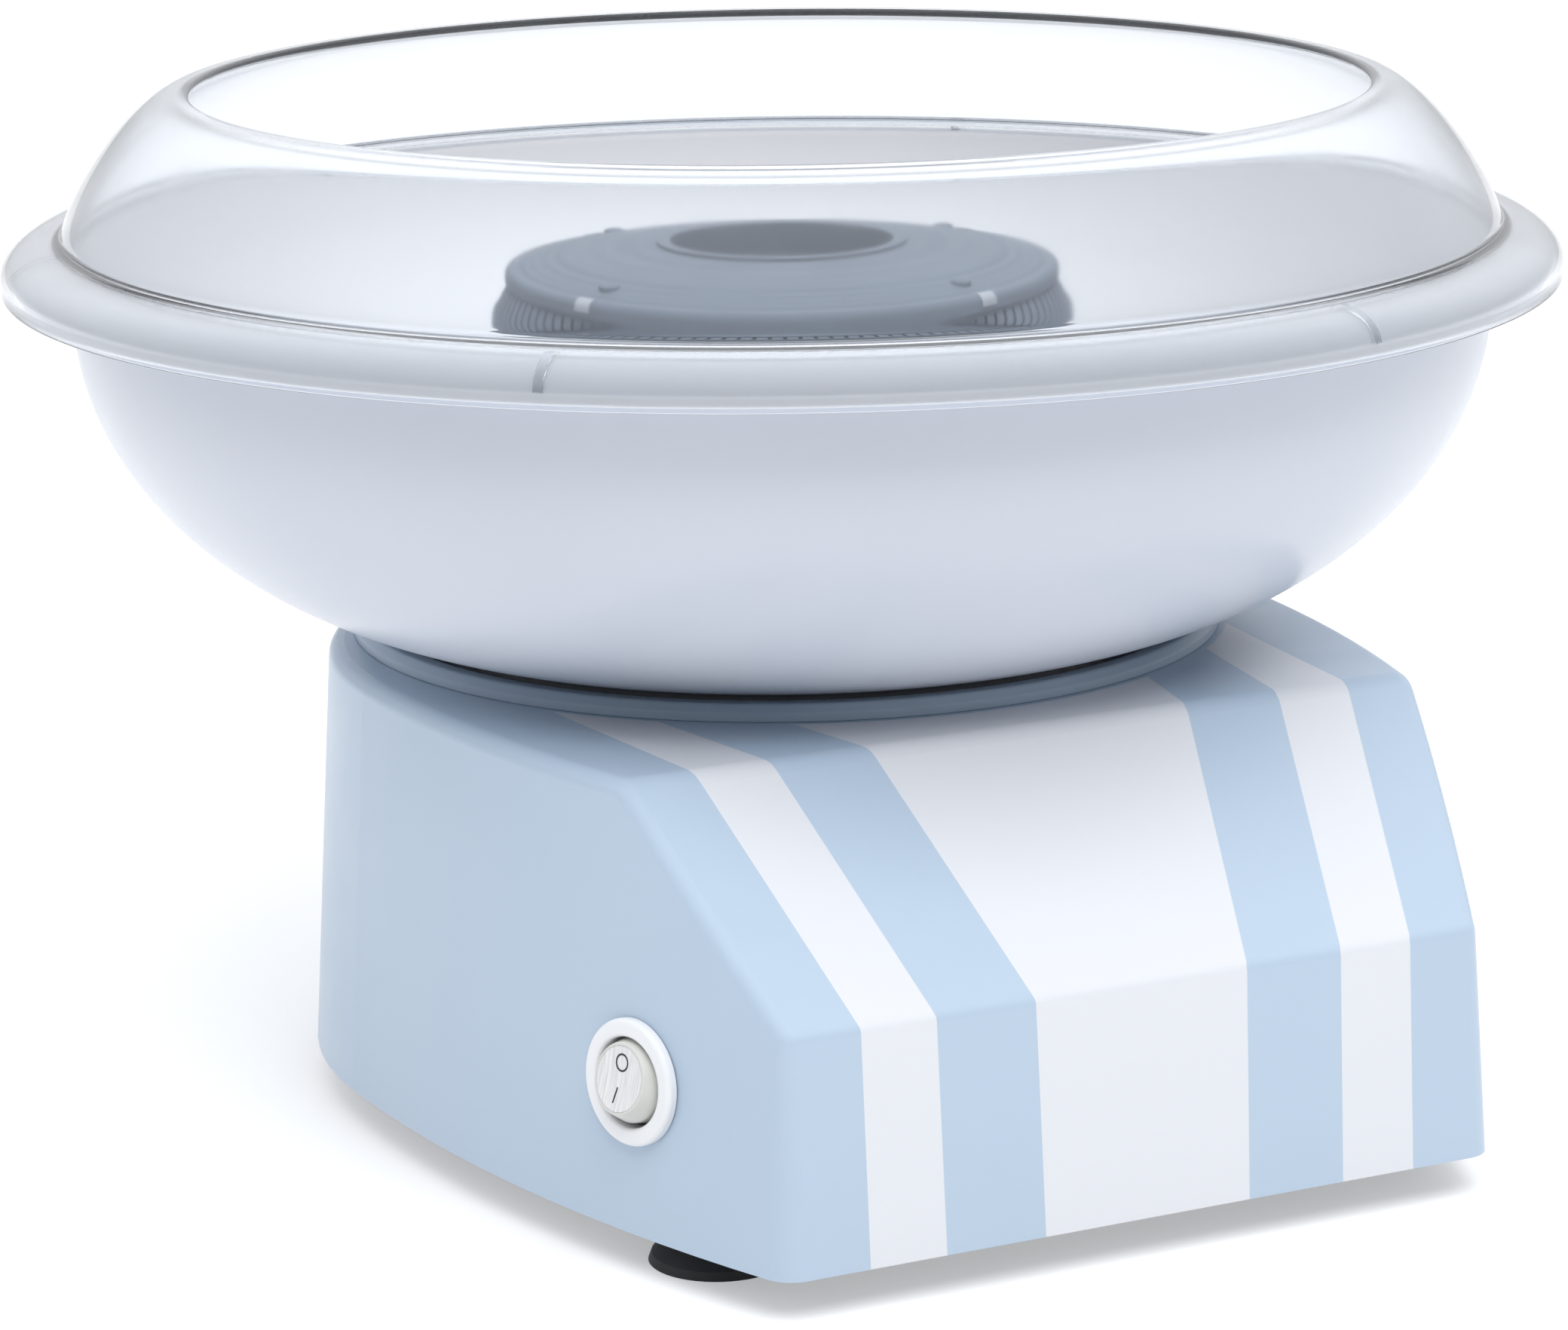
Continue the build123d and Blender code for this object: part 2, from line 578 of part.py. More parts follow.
def commutator():
    body = tube(5.2, SHAFT_RADIUS, 25.2, 30.3)
    for angle in around(8, 22.5):
        body -= Rot(0, 0, angle) * Pos(5.2, 0, 27.5) * Box(1.2, 0.4, 20)
    return body


def brushes():
    pair = []
    for side in (-1, 1):
        block = Pos(side * 9.8, 0, 26.9) * Box(8.8, 4.6, 2.6)
        pair.append(block - tube(5.5, 0.1, 20, 35))
    return Compound(children=pair)


def motor_plate():
    """The steel plate that hangs the motor from four rubber grommets."""
    low, high = MOTOR_TOP + 0.05, MOTOR_TOP + 1.65
    reach = POST_REACH + 6.5
    plate = Pos(0, 0, low) * extrude(RectangleRounded(2 * reach, 2 * reach, 8.0), high - low)
    plate -= rod(6.2, low - 1, high + 1)
    for x in (-12.5, 12.5):
        plate -= rod(1.7, low - 1, high + 1, x, 0)
    for x in (-POST_REACH, POST_REACH):
        for y in (-POST_REACH, POST_REACH):
            plate -= rod(4.1, low - 1, high + 1, x, y)
    for angle in around(4):
        plate -= Rot(0, 0, angle) * Pos(24, 0, low) * Box(9, 16, 8)
    return plate


def at_posts(shape):
    places = [(x, y) for x in (-POST_REACH, POST_REACH) for y in (-POST_REACH, POST_REACH)]
    return Compound(children=[Pos(x, y, 0) * shape for x, y in places])


def rubber_grommets():
    low, high = MOTOR_TOP - 2.4, MOTOR_TOP + 5.5
    plate_low, plate_high = MOTOR_TOP, MOTOR_TOP + 1.7
    return at_posts(turned_outline([
        (1.8, low), (6.0, low), (6.0, plate_low), (4.0, plate_low), (4.0, plate_high),
        (6.0, plate_high), (6.0, high - 0.6), (5.4, high), (1.8, high),
    ]))


def motor_mount_screws():
    return at_posts(screw(0, 0, MOTOR_TOP - 4.3, 9.5, shank=1.25, head=4.0, head_height=1.8))


def motor_screws():
    top = MOTOR_TOP + 1.7 + 1.8
    return Compound(children=[
        screw(x, 0, top, 3.6, shank=1.25, head=2.6, up=False) for x in (-12.5, 12.5)
    ])


# ================================================================ heat shield tower and heater
def heat_shield_tower():
    """The spun aluminium tower round the heater, screwed to the recess floor."""
    low = RECESS_Z + 0.05
    wall = 1.2
    tower = turned_outline([
        (TOWER_RADIUS - wall, low),
        (TOWER_FLANGE_RADIUS, low),
        (TOWER_FLANGE_RADIUS, low + wall),
        (TOWER_RADIUS + 0.8, low + wall),
        (TOWER_RADIUS, low + wall + 0.8),
        (TOWER_RADIUS, TOWER_TOP - 1.0),
        (TOWER_RADIUS - 0.2, TOWER_TOP),
        (TOWER_RADIUS - 3.6, TOWER_TOP),
        (TOWER_RADIUS - 3.6, TOWER_TOP - wall),
        (TOWER_RADIUS - wall, TOWER_TOP - wall),
    ])
    for angle in around(3, 90):
        tower -= Rot(0, 0, angle) * rod(1.6, 80, 90, 56.5, 0)
    for angle in around(12, 15):
        tower -= Rot(0, 0, angle) * Pos(TOWER_RADIUS, 0, 98) * Box(6, 3.0, 9.0)
    return tower


def tower_screws():
    one = screw(56.5, 0, RECESS_Z + 1.25 + 1.6, 6.0, shank=1.2, head=2.4, head_height=1.6, up=False)
    return Compound(children=[Rot(0, 0, a) * one for a in around(3, 90)])


def tower_floor():
    """The disc that closes the tower's foot above the motor."""
    low = RECESS_Z + 0.05
    disc = tube(TOWER_RADIUS - 1.25, 8.0, low, low + 1.2)
    for angle in around(3, 30):
        disc -= Rot(0, 0, angle) * rod(2.0, low - 1, low + 3, HEATER_RADIUS, 0)
    for angle in HEATER_ENDS:
        disc -= Rot(0, 0, angle) * rod(5.2, low - 1, low + 3, HEATER_RADIUS, 0)
    return disc


def heat_reflector():
    """The dished reflector that throws the heater's heat up at the pan."""
    dish = turned_outline([
        (11.0, 110.0), (24.0, 110.0), (50.8, 117.0), (50.8, 118.0), (23.8, 111.0), (11.0, 111.0),
    ])
    for angle in around(3, 30):
        dish -= Rot(0, 0, angle) * rod(3.4, 100, 125, HEATER_RADIUS, 0)
    for angle in HEATER_ENDS:
        dish -= Rot(0, 0, angle) * rod(3.8, 100, 125, HEATER_RADIUS, 0)
    return dish


def heater_element():
    """A tubular heating ring, open at the back, with two legs down to the terminals."""
    section = Plane.XZ * (Pos(HEATER_RADIUS, HEATER_Z) * Circle(HEATER_TUBE))
    start = HEATER_ENDS[1]
    ring = revolve(Rot(0, 0, start) * section, Axis.Z, 360 - (HEATER_ENDS[1] - HEATER_ENDS[0]))
    for angle in HEATER_ENDS:
        ring += Rot(0, 0, angle) * rod(HEATER_TUBE, 84.0, HEATER_Z, HEATER_RADIUS, 0)
    return ring


def heater_insulators():
    """Ceramic sleeves where the heater's legs pass the tower floor."""
    low = RECESS_Z - 1.0
    sleeve = tube(5.0, HEATER_TUBE + 0.05, low, low + 6.0)
    one = sleeve + tube(5.9, HEATER_TUBE + 0.05, low + 2.5, low + 6.0)
    trimmed = []
    for angle in HEATER_ENDS:
        piece = Rot(0, 0, angle) * Pos(HEATER_RADIUS, 0, 0) * one
        side = -1 if angle > 90 else 1
        trimmed.append(piece & (Pos(side * 30.05, HEATER_RADIUS, RECESS_Z) * Box(60, 40, 40)))
    return Compound(children=[t for part in trimmed for t in part.solids()])


def heater_posts():
    """Ceramic posts that carry the ring."""
    foot = RECESS_Z + 1.3
    top = HEATER_Z - HEATER_TUBE - 0.05
    column = rod(3.0, foot, top, HEATER_RADIUS, 0)
    column += rod(4.4, foot, 112.2, HEATER_RADIUS, 0)
    column += rod(6.0, foot, foot + 3.0, HEATER_RADIUS, 0)
    column += rod(1.9, RECESS_Z + 0.15, foot + 1, HEATER_RADIUS, 0)
    return Compound(children=[Rot(0, 0, a) * column for a in around(3, 30)])


def thermal_cutoff():
    """The snap-disc cut-off that sits on the tower floor."""
    place = Rot(0, 0, 210) * Pos(34.0, 0, RECESS_Z + 1.3)
    body = rod(8.0, 0, 5.0) + rod(6.4, 5.0, 8.0)
    for x in (-5.5, 5.5):
        body += Pos(x, 0, 9.5) * Box(0.8, 5.0, 5.0)
    return place * body


# ================================================================ electrics in the base
def circuit_board():
    board = Pos(*BOARD_CENTRE, BOARD_Z + 0.05) * extrude(Rectangle(*BOARD_SIZE), 1.6)
    for x, y in BOARD_CORNERS:
        board -= rod(1.5, BOARD_Z - 1, BOARD_Z + 5, x, y)
    return board


def board_screws():
    top = BOARD_Z + 1.7 + 1.6
    return Compound(children=[
        screw(x, y, top, 4.4, shank=1.05, head=2.4, head_height=1.6, up=False)
        for x, y in BOARD_CORNERS
    ])


def rectifier_diodes():
    diode = Pos(0, 0, BOARD_Z + 4.8) * Rot(0, 90, 0) * Cylinder(2.6, 9.0)
    for x in (-6.0, 6.0):
        diode += Pos(x, 0, BOARD_Z + 3.25) * Box(0.9, 0.9, 3.1)
        diode += Pos(x * 0.83, 0, BOARD_Z + 4.8) * Box(3.0, 0.9, 0.9)
    return Compound(children=[Pos(14, 41 + 6.4 * i, 0) * diode for i in range(4)])


def smoothing_capacitor():
    can = rod(8.0, BOARD_Z + 1.75, BOARD_Z + 26.0, -8.0, 52.0)
    return fillet(can.edges().sort_by(Axis.Z)[-1], 1.2)


def terminal_block():
    x, z = TERMINAL_X, BOARD_Z + 7.0
    block = Pos(x, 50.0, z) * Box(9.0, 20.0, 10.5)
    for y in TERMINAL_YS:
        block -= rod(1.8, z, z + 6.0, x, y)
        block -= Pos(x - 4.0, y, TERMINAL_Z) * Rot(0, 90, 0) * Cylinder(1.8, 6.0)
    return block


# ================================================================ switch, drawn on its wall plane
def switch_body():
    """Bezel and barrel of the round rocker switch."""
    bezel = Cylinder(BEZEL_RADIUS, BEZEL_HEIGHT, align=(Align.CENTER, Align.CENTER, Align.MIN))
    bezel = fillet(bezel.edges().sort_by(Axis.Z)[-1], 1.3)
    barrel = Pos(0, 0, -18.0) * Cylinder(9.9, 18.2, align=(Align.CENTER, Align.CENTER, Align.MIN))
    body = Pos(0, 0, 0.05) * bezel + barrel
    well = Pos(0, 0, -7.0) * Cylinder(
        SWITCH_WELL_RADIUS, 20, align=(Align.CENTER, Align.CENTER, Align.MIN))
    body -= well
    trunnion = Pos(0, 0, -TRUNNION_DEPTH) * Rot(0, 90, 0) * Cylinder(TRUNNION_RADIUS + RUNNING, 18.6)
    return SWITCH_PLANE * (body - trunnion)


def switch_rocker():
    """The rocker: a round button with a proud, narrower face, tilted to its off position."""
    cap = Pos(0, 0, -3.0) * Cylinder(
        ROCKER_RADIUS, 3.4, align=(Align.CENTER, Align.CENTER, Align.MIN))
    foot, rim = Plane.XY.offset(0.4), Plane.XY.offset(ROCKER_TOP)
    rise = loft([foot * Circle(ROCKER_RADIUS), rim * Circle(ROCKER_FACE_RADIUS)])
    rise = fillet(rise.edges().sort_by(Axis.Z)[-1], 0.5)
    button = cap + rise
    button -= Pos(0, 0, ROCKER_TOP - 0.4 + ROCKER_DISH) * Sphere(ROCKER_DISH)
    button += Pos(0, 0, -TRUNNION_DEPTH) * Rot(0, 90, 0) * Cylinder(TRUNNION_RADIUS, 18.2)
    swing = Pos(0, 0, -TRUNNION_DEPTH) * Rot(-ROCKER_TILT, 0, 0) * Pos(0, 0, TRUNNION_DEPTH)
    return SWITCH_PLANE * swing * button


def switch_terminals():
    tabs = [Pos(0, y, -21.9) * Box(4.8, 0.8, 7.7) for y in (-5.5, 5.5)]
    return Compound(children=[SWITCH_PLANE * t for t in tabs])


# ================================================================ inner wires, each held at both ends
def wire(points, bend, radius=1.1):
    path = FilletPolyline(*points, radius=bend)
    section = Plane(origin=path @ 0, z_dir=path % 0) * Circle(radius)
    return sweep(section, path=path)


def switch_leads():
    """Two leads from the switch's tabs to the terminal block."""
    low_tab = SWITCH_PLANE * Pos(0, -5.5, -26.0)
    high_tab = SWITCH_PLANE * Pos(0, 5.5, -26.0)
    block_x = TERMINAL_X - 4.6
    outer = [
        low_tab.position, (-48, -98, 28), (-48, -60, 24), (-46, 0, 22),
        (-44, TERMINAL_YS[1], TERMINAL_Z), (block_x, TERMINAL_YS[1], TERMINAL_Z),
    ]
    inner = [
        high_tab.position, (-46, -96, 38), (-43, -60, 30), (-42, 0, 25),
        (-39, TERMINAL_YS[0], TERMINAL_Z), (block_x, TERMINAL_YS[0], TERMINAL_Z),
    ]
    return Compound(children=[wire(outer, 5.0), wire(inner, 5.0)])


def motor_leads():
    """Two leads from the motor's end cap to the underside of the board."""
    return Compound(children=[
        wire([(x, 0, 20.95), (x, 0, 14.2), (x, 36, 14.2), (x, 36, BOARD_Z)], 2.4, radius=1.0)
        for x in (-11.0, 11.0)
    ])


def heater_leads():
    """Two leads from the heater's legs down to the board."""
    leads = []
    for angle in HEATER_ENDS:
        x = HEATER_RADIUS * cos(radians(angle))
        y = HEATER_RADIUS * sin(radians(angle))
        route = [(x, y, 83.6), (x, 40.5, 76), (x, 41.5, 60), (x, 38.5, 34), (x, 38.0, BOARD_Z + 1.7)]
        leads.append(wire(route, 6.0))
    return Compound(children=leads)


PARTS = {
    "base_housing": base_housing,
    "bottom_cover": bottom_cover,
    "bowl_seat_ring": bowl_seat_ring,
    "cord_inlet_bush": cord_inlet_bush,
    "suction_feet": suction_feet,
    "cover_screws": cover_screws,
    "bowl": bowl,
    "bowl_gasket": bowl_gasket,
    "lid": lid,
    "head_upper_disc": head_upper_disc,
    "head_lower_pan": head_lower_pan,
    "head_mesh_band": head_mesh_band,
    "head_spacers": head_spacers,
    "head_screws": head_screws,
    "sugar_funnel": sugar_funnel,
    "head_hub": head_hub,
    "motor_shaft": motor_shaft,
    "drive_pin": drive_pin,
    "shaft_collar": shaft_collar,
    "motor_can": motor_can,
    "motor_magnets": motor_magnets,
    "motor_end_cap": motor_end_cap,
    "front_bearing": front_bearing,
    "rear_bearing": rear_bearing,
    "armature": armature,
    "armature_windings": armature_windings,
    "commutator": commutator,
    "brushes": brushes,
    "motor_plate": motor_plate,
    "rubber_grommets": rubber_grommets,
    "motor_mount_screws": motor_mount_screws,
    "motor_screws": motor_screws,
    "heat_shield_tower": heat_shield_tower,
    "tower_screws": tower_screws,
    "tower_floor": tower_floor,
    "heat_reflector": heat_reflector,
    "heater_element": heater_element,
    "heater_insulators": heater_insulators,
    "heater_posts": heater_posts,
    "thermal_cutoff": thermal_cutoff,
    "circuit_board": circuit_board,
    "board_screws": board_screws,
    "rectifier_diodes": rectifier_diodes,
    "smoothing_capacitor": smoothing_capacitor,
    "terminal_block": terminal_block,
    "switch_body": switch_body,
    "switch_rocker": switch_rocker,
    "switch_terminals": switch_terminals,
    "switch_leads": switch_leads,
    "motor_leads": motor_leads,
    "heater_leads": heater_leads,
}

os.makedirs("parts", exist_ok=True)
for name, make in PARTS.items():
    export_step(make(), f"parts/{name}.step")
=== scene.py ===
import json
import math

import bmesh
import bpy
from mathutils import Matrix, Vector


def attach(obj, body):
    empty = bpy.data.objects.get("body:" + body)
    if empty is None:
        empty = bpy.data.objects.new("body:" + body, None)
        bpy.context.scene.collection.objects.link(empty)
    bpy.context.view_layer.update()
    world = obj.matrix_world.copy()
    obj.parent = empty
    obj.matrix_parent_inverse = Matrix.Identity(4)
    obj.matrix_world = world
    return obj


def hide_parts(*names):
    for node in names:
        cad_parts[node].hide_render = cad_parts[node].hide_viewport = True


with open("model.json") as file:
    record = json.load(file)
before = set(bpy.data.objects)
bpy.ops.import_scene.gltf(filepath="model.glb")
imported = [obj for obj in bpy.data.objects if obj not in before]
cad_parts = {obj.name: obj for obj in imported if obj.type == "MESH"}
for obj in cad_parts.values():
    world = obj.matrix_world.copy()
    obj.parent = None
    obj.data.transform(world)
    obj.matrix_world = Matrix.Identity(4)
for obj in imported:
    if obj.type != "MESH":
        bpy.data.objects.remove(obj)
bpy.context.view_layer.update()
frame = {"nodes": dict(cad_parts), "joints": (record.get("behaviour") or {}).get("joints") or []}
NODES = frame["nodes"]
MM = 0.001

# ---------------------------------------------------------------- camera (degrees and metres)
AZIMUTH, ELEVATION, ROLL = -25.954, 13.857, 0.735
DISTANCE, TARGET_HEIGHT = 1.0609, 0.080
LENS, SENSOR_WIDTH, SHIFT_X = 119.29, 36, -0.0019
CLIP_NEAR, CLIP_FAR = 0.05, 50


def axes_at(origin, x_axis, y_axis, z_axis):
    """The matrix that puts the three axes at an origin."""
    return Matrix.Translation(origin) @ Matrix((x_axis, y_axis, z_axis)).transposed().to_4x4()


def make_camera():
    a, e, r = (math.radians(v) for v in (AZIMUTH, ELEVATION, ROLL))
    back = Vector((math.sin(a) * math.cos(e), -math.cos(a) * math.cos(e), math.sin(e)))
    right = Vector((math.cos(a), math.sin(a), 0))
    up = back.cross(right)
    side = right * math.cos(r) - up * math.sin(r)
    top = right * math.sin(r) + up * math.cos(r)
    data = bpy.data.cameras.new("camera")
    data.sensor_fit, data.sensor_width, data.lens = "HORIZONTAL", SENSOR_WIDTH, LENS
    data.shift_x = SHIFT_X
    data.clip_start, data.clip_end = CLIP_NEAR, CLIP_FAR
    cam = bpy.data.objects.new("camera", data)
    place = Vector((0, 0, TARGET_HEIGHT)) + back * DISTANCE
    cam.matrix_world = axes_at(place, side, top, back)
    bpy.context.scene.collection.objects.link(cam)
    bpy.context.scene.camera = cam


# ---------------------------------------------------------------- material helpers
# Every roughness range stays on one side of about 0.27: with ranges that crossed it, the
# denoised picture came out blotchy. Depths are in metres.
GRAIN_SCALE = 2600
SCRATCH_DEPTH, RING_DEPTH = 0.00001, 0.000006


class Nodes:
    """A short way to write a material's node tree."""

    def __init__(self, name):
        self.mat = bpy.data.materials.new(name)
        self.mat.use_nodes = True
        self.tree = self.mat.node_tree
        self.shader = self.tree.nodes["Principled BSDF"]
        self.coords = self.add("ShaderNodeTexCoord").outputs["Object"]

    def add(self, kind, **values):
        node = self.tree.nodes.new(kind)
        for key, value in values.items():
            setattr(node, key, value)
        return node

    def link(self, a, b):
        self.tree.links.new(a, b)

    def set(self, **values):
        for key, value in values.items():
            self.shader.inputs[key.replace("_", " ")].default_value = value
        return self

    def math(self, op, a, b=None, clamp=False):
        node = self.add("ShaderNodeMath", operation=op, use_clamp=clamp)
        for socket, value in zip(node.inputs, (a, b)):
            if value is None:
                continue
            if isinstance(value, (int, float)):
                socket.default_value = value
            else:
                self.link(value, socket)
        return node.outputs[0]

    def split(self):
        """The object's own x, y and z, in metres."""
        node = self.add("ShaderNodeSeparateXYZ")
        self.link(self.coords, node.inputs[0])
        return node.outputs

    def radius(self):
        """The distance from the object's vertical axis, in metres."""
        x, y, _ = self.split()
        return self.math("SQRT", self.math("ADD", self.math("MULTIPLY", x, x), self.math("MULTIPLY", y, y)))

    def vector(self, **parts):
        node = self.add("ShaderNodeCombineXYZ")
        for axis, value in parts.items():
            self.link(value, node.inputs[axis])
        return node.outputs[0]

    def noise(self, scale, detail, rough=0.5, stretch=None, source=None):
        source = source or self.coords
        if stretch:
            mapping = self.add("ShaderNodeMapping")
            mapping.inputs["Scale"].default_value = stretch
            self.link(source, mapping.inputs["Vector"])
            source = mapping.outputs["Vector"]
        node = self.add("ShaderNodeTexNoise")
        node.inputs["Scale"].default_value = scale
        node.inputs["Detail"].default_value = detail
        node.inputs["Roughness"].default_value = rough
        self.link(source, node.inputs["Vector"])
        return node.outputs["Fac"]

    def span(self, value, low, high, from_low=0.3, from_high=0.7):
        """Takes from_low...from_high, most of a noise's range, to low...high."""
        node = self.add("ShaderNodeMapRange")
        self.link(value, node.inputs["Value"])
        for key, number in zip(("From Min", "From Max", "To Min", "To Max"),
                               (from_low, from_high, low, high)):
            node.inputs[key].default_value = number
        return node.outputs["Result"]

    def mix(self, factor, a, b):
        """Colour a where the factor is 0 and colour b where it is 1."""
        node = self.add("ShaderNodeMix", data_type="RGBA")
        self.link(factor, node.inputs["Factor"])
        for socket, value in ((node.inputs["A"], a), (node.inputs["B"], b)):
            if isinstance(value, tuple):
                socket.default_value = (*value, 1)
            else:
                self.link(value, socket)
        return node.outputs["Result"]

    def bump(self, height, distance, strength=1.0, after=None):
        node = self.add("ShaderNodeBump")
        node.inputs["Distance"].default_value = distance
        node.inputs["Strength"].default_value = strength
        self.link(height, node.inputs["Height"])
        if after is not None:
            self.link(after, node.inputs["Normal"])
        return node.outputs["Normal"]

    def to(self, socket, value):
        self.link(value, self.shader.inputs[socket])

    def over(self, mask, colour):
        """Lays a colour over what the base colour is so far."""
        so_far = self.shader.inputs["Base Color"].links[0].from_socket
        self.to("Base Color", self.mix(mask, so_far, colour))


def scaled(colour, factor):
    return tuple(min(1, c * factor) for c in colour)


def moulded(name, colour, rough, peel=0.00002, vary=0.03, grain=0.0, **sockets):
    """Moulded plastic or rubber: faint colour drift, uneven gloss, slight orange peel, optional grain."""
    m = Nodes(name).set(**sockets)
    drift = m.noise(18, 3)
    m.to("Base Color", m.mix(m.span(drift, 0, 1), scaled(colour, 1 - vary), scaled(colour, 1 + vary)))
    smear = m.noise(55, 4, 0.6)
    m.to("Roughness", m.span(smear, rough * 0.88, rough * 1.14))
    normal = m.bump(m.noise(170, 2), peel)
    if grain:
        normal = m.bump(m.noise(GRAIN_SCALE, 3, 0.6), grain, after=normal)
    m.to("Normal", normal)
    return m


def metal(name, colour, rough, metallic=1.0, stretch=None, scale=900):
    """Bare metal with fine directional marks."""
    m = Nodes(name).set(Metallic=metallic)
    drift = m.noise(30, 3)
    m.to("Base Color", m.mix(m.span(drift, 0, 1), scaled(colour, 0.92), colour))
    marks = m.noise(scale, 4, 0.65, stretch)
    m.to("Roughness", m.span(marks, rough * 0.75, rough * 1.25))
    m.to("Normal", m.bump(marks, SCRATCH_DEPTH))
    return m


def turned_metal(name, colour, rough, metallic=1.0):
    """Spun metal: fine rings round the spin axis."""
    m = Nodes(name).set(Metallic=metallic)
    rings = m.noise(700, 3, source=m.vector(X=m.radius(), Z=m.split()[2]))
    cloud = m.noise(40, 3)
    m.to("Base Color", m.mix(m.span(cloud, 0, 1), scaled(colour, 0.9), colour))
    m.to("Roughness", m.span(rings, rough * 0.8, rough * 1.25))
    m.to("Normal", m.bump(rings, RING_DEPTH))
    return m


# ---------------------------------------------------------------- the striped casing material
BLUE = (0.42, 0.52, 0.635)
WHITE_PAINT = (0.67, 0.685, 0.72)
# the shell's foot and the two folds of its front, in metres
LOW_Z, FOLD_LOW_Z, FOLD_HIGH_Z, FOLD_HIGH_Y = 0.008, 0.052, 0.0906, -0.1032
# each edge: half-width at the foot, widening up the front, widening up the slope, spread on the deck
STRIPE_EDGES = (
    (0.0214, 0.0006, 0.0116, 0.20),
    (0.0416, 0.0005, 0.0116, 0.158),
    (0.0570, 0.0002, 0.0120, 0.090),
)
STRIPE_END_RADIUS, STRIPE_END_Y = 0.0893, -0.035
PAINT_EDGE, PAINT_THICKNESS = 0.00012, 0.00003


def striped_casing():
    """Blue plastic with a wide centre stripe and a narrow one at each side, painted white."""
    m = moulded("striped_abs", BLUE, 0.34, peel=0.000004, vary=0.012,
                IOR=1.5, Coat_Weight=0.15, Coat_Roughness=0.12)
    x, y, z = m.split()
    across = m.math("ABSOLUTE", x)
    front = m.math("DIVIDE", m.math("SUBTRACT", z, LOW_Z), FOLD_LOW_Z - LOW_Z, clamp=True)
    slope = m.math("DIVIDE", m.math("SUBTRACT", z, FOLD_LOW_Z), FOLD_HIGH_Z - FOLD_LOW_Z, clamp=True)
    deck = m.math("MAXIMUM", m.math("SUBTRACT", y, FOLD_HIGH_Y), 0.0)
    inside = []
    for start, up_front, up_slope, spread in STRIPE_EDGES:
        edge = m.math("ADD", m.math("MULTIPLY", front, up_front), start)
        edge = m.math("ADD", edge, m.math("MULTIPLY", slope, up_slope))
        edge = m.math("ADD", edge, m.math("MULTIPLY", deck, spread))
        gap = m.math("DIVIDE", m.math("SUBTRACT", edge, across), PAINT_EDGE)
        inside.append(m.math("ADD", gap, 0.5, clamp=True))
    centre, gap_in, side_out = inside
    side = m.math("MULTIPLY", side_out, m.math("SUBTRACT", 1.0, gap_in))
    mask = m.math("ADD", centre, side, clamp=True)
    past_ring = m.math("DIVIDE", m.math("SUBTRACT", m.radius(), STRIPE_END_RADIUS), PAINT_EDGE)
    past_ring = m.math("ADD", past_ring, 0.5, clamp=True)
    ahead = m.math("LESS_THAN", y, STRIPE_END_Y)
    mask = m.math("MULTIPLY", m.math("MULTIPLY", mask, past_ring), ahead)
    m.over(mask, WHITE_PAINT)
    plain = m.shader.inputs["Normal"].links[0].from_socket
    m.to("Normal", m.bump(mask, PAINT_THICKNESS, 0.6, after=plain))
    return m


# ---------------------------------------------------------------- profiles, in millimetres (r, z)
MOST_OF_HALF = 0.48  # the share of a straight run that the arc at one end may take
SUPPORT = 0.12  # from an arc to the extra point that keeps the flat beside it flat
SAME_POINT = 0.004


def ellipse_arc(centre, radii, start, end, count):
    """Points of an ellipse from one angle to another, in degrees."""
    steps = [math.radians(start + (end - start) * i / count) for i in range(count + 1)]
    return [(centre[0] + radii[0] * math.cos(t), centre[1] + radii[1] * math.sin(t)) for t in steps]


def bezier(a, b, c, d, count):
    """Points of a cubic curve from a to d, pulled towards b and c."""
    points = []
    for i in range(count + 1):
        t = i / count
        w = ((1 - t) ** 3, 3 * t * (1 - t) ** 2, 3 * t * t * (1 - t), t ** 3)
        points.append(tuple(sum(k * p[n] for k, p in zip(w, (a, b, c, d))) for n in (0, 1)))
    return points


def softened(corners, count=5, closed=True):
    """Points with a radius, (r, z, radius), joined by straight runs and small arcs."""
    made = []
    total = len(corners)
    for i, (x, y, radius) in enumerate(corners):
        if radius <= 0 or (not closed and i in (0, total - 1)):
            made.append((x, y))
            continue
        here = Vector((x, y))
        before = Vector(corners[i - 1][:2]) - here
        after = Vector(corners[(i + 1) % total][:2]) - here
        angle = before.angle(after)
        reach = radius / math.tan(angle / 2)
        reach = min(reach, before.length * MOST_OF_HALF, after.length * MOST_OF_HALF)
        radius = reach * math.tan(angle / 2)
        a, b = before.normalized(), after.normalized()
        centre = here + (a + b).normalized() * (radius / math.sin(angle / 2))
        first, last = here + a * reach, here + b * reach
        if before.length * 0.5 > reach + SUPPORT:
            made.append(tuple(first + a * SUPPORT))
        u, v = first - centre, last - centre
        sweep = u.angle(v)
        for k in range(count + 1):
            t = k / count
            p = (u * math.sin((1 - t) * sweep) + v * math.sin(t * sweep)) / math.sin(sweep)
            made.append(tuple(centre + p))
        if after.length * 0.5 > reach + SUPPORT:
            made.append(tuple(last + b * SUPPORT))
    return made


def without_repeats(profile):
    """The profile without points that fall on the one before."""
    kept = []
    for p in profile:
        if not kept or math.dist(p, kept[-1]) > SAME_POINT:
            kept.append(p)
    while math.dist(kept[0], kept[-1]) <= SAME_POINT:
        kept.pop()
    return kept


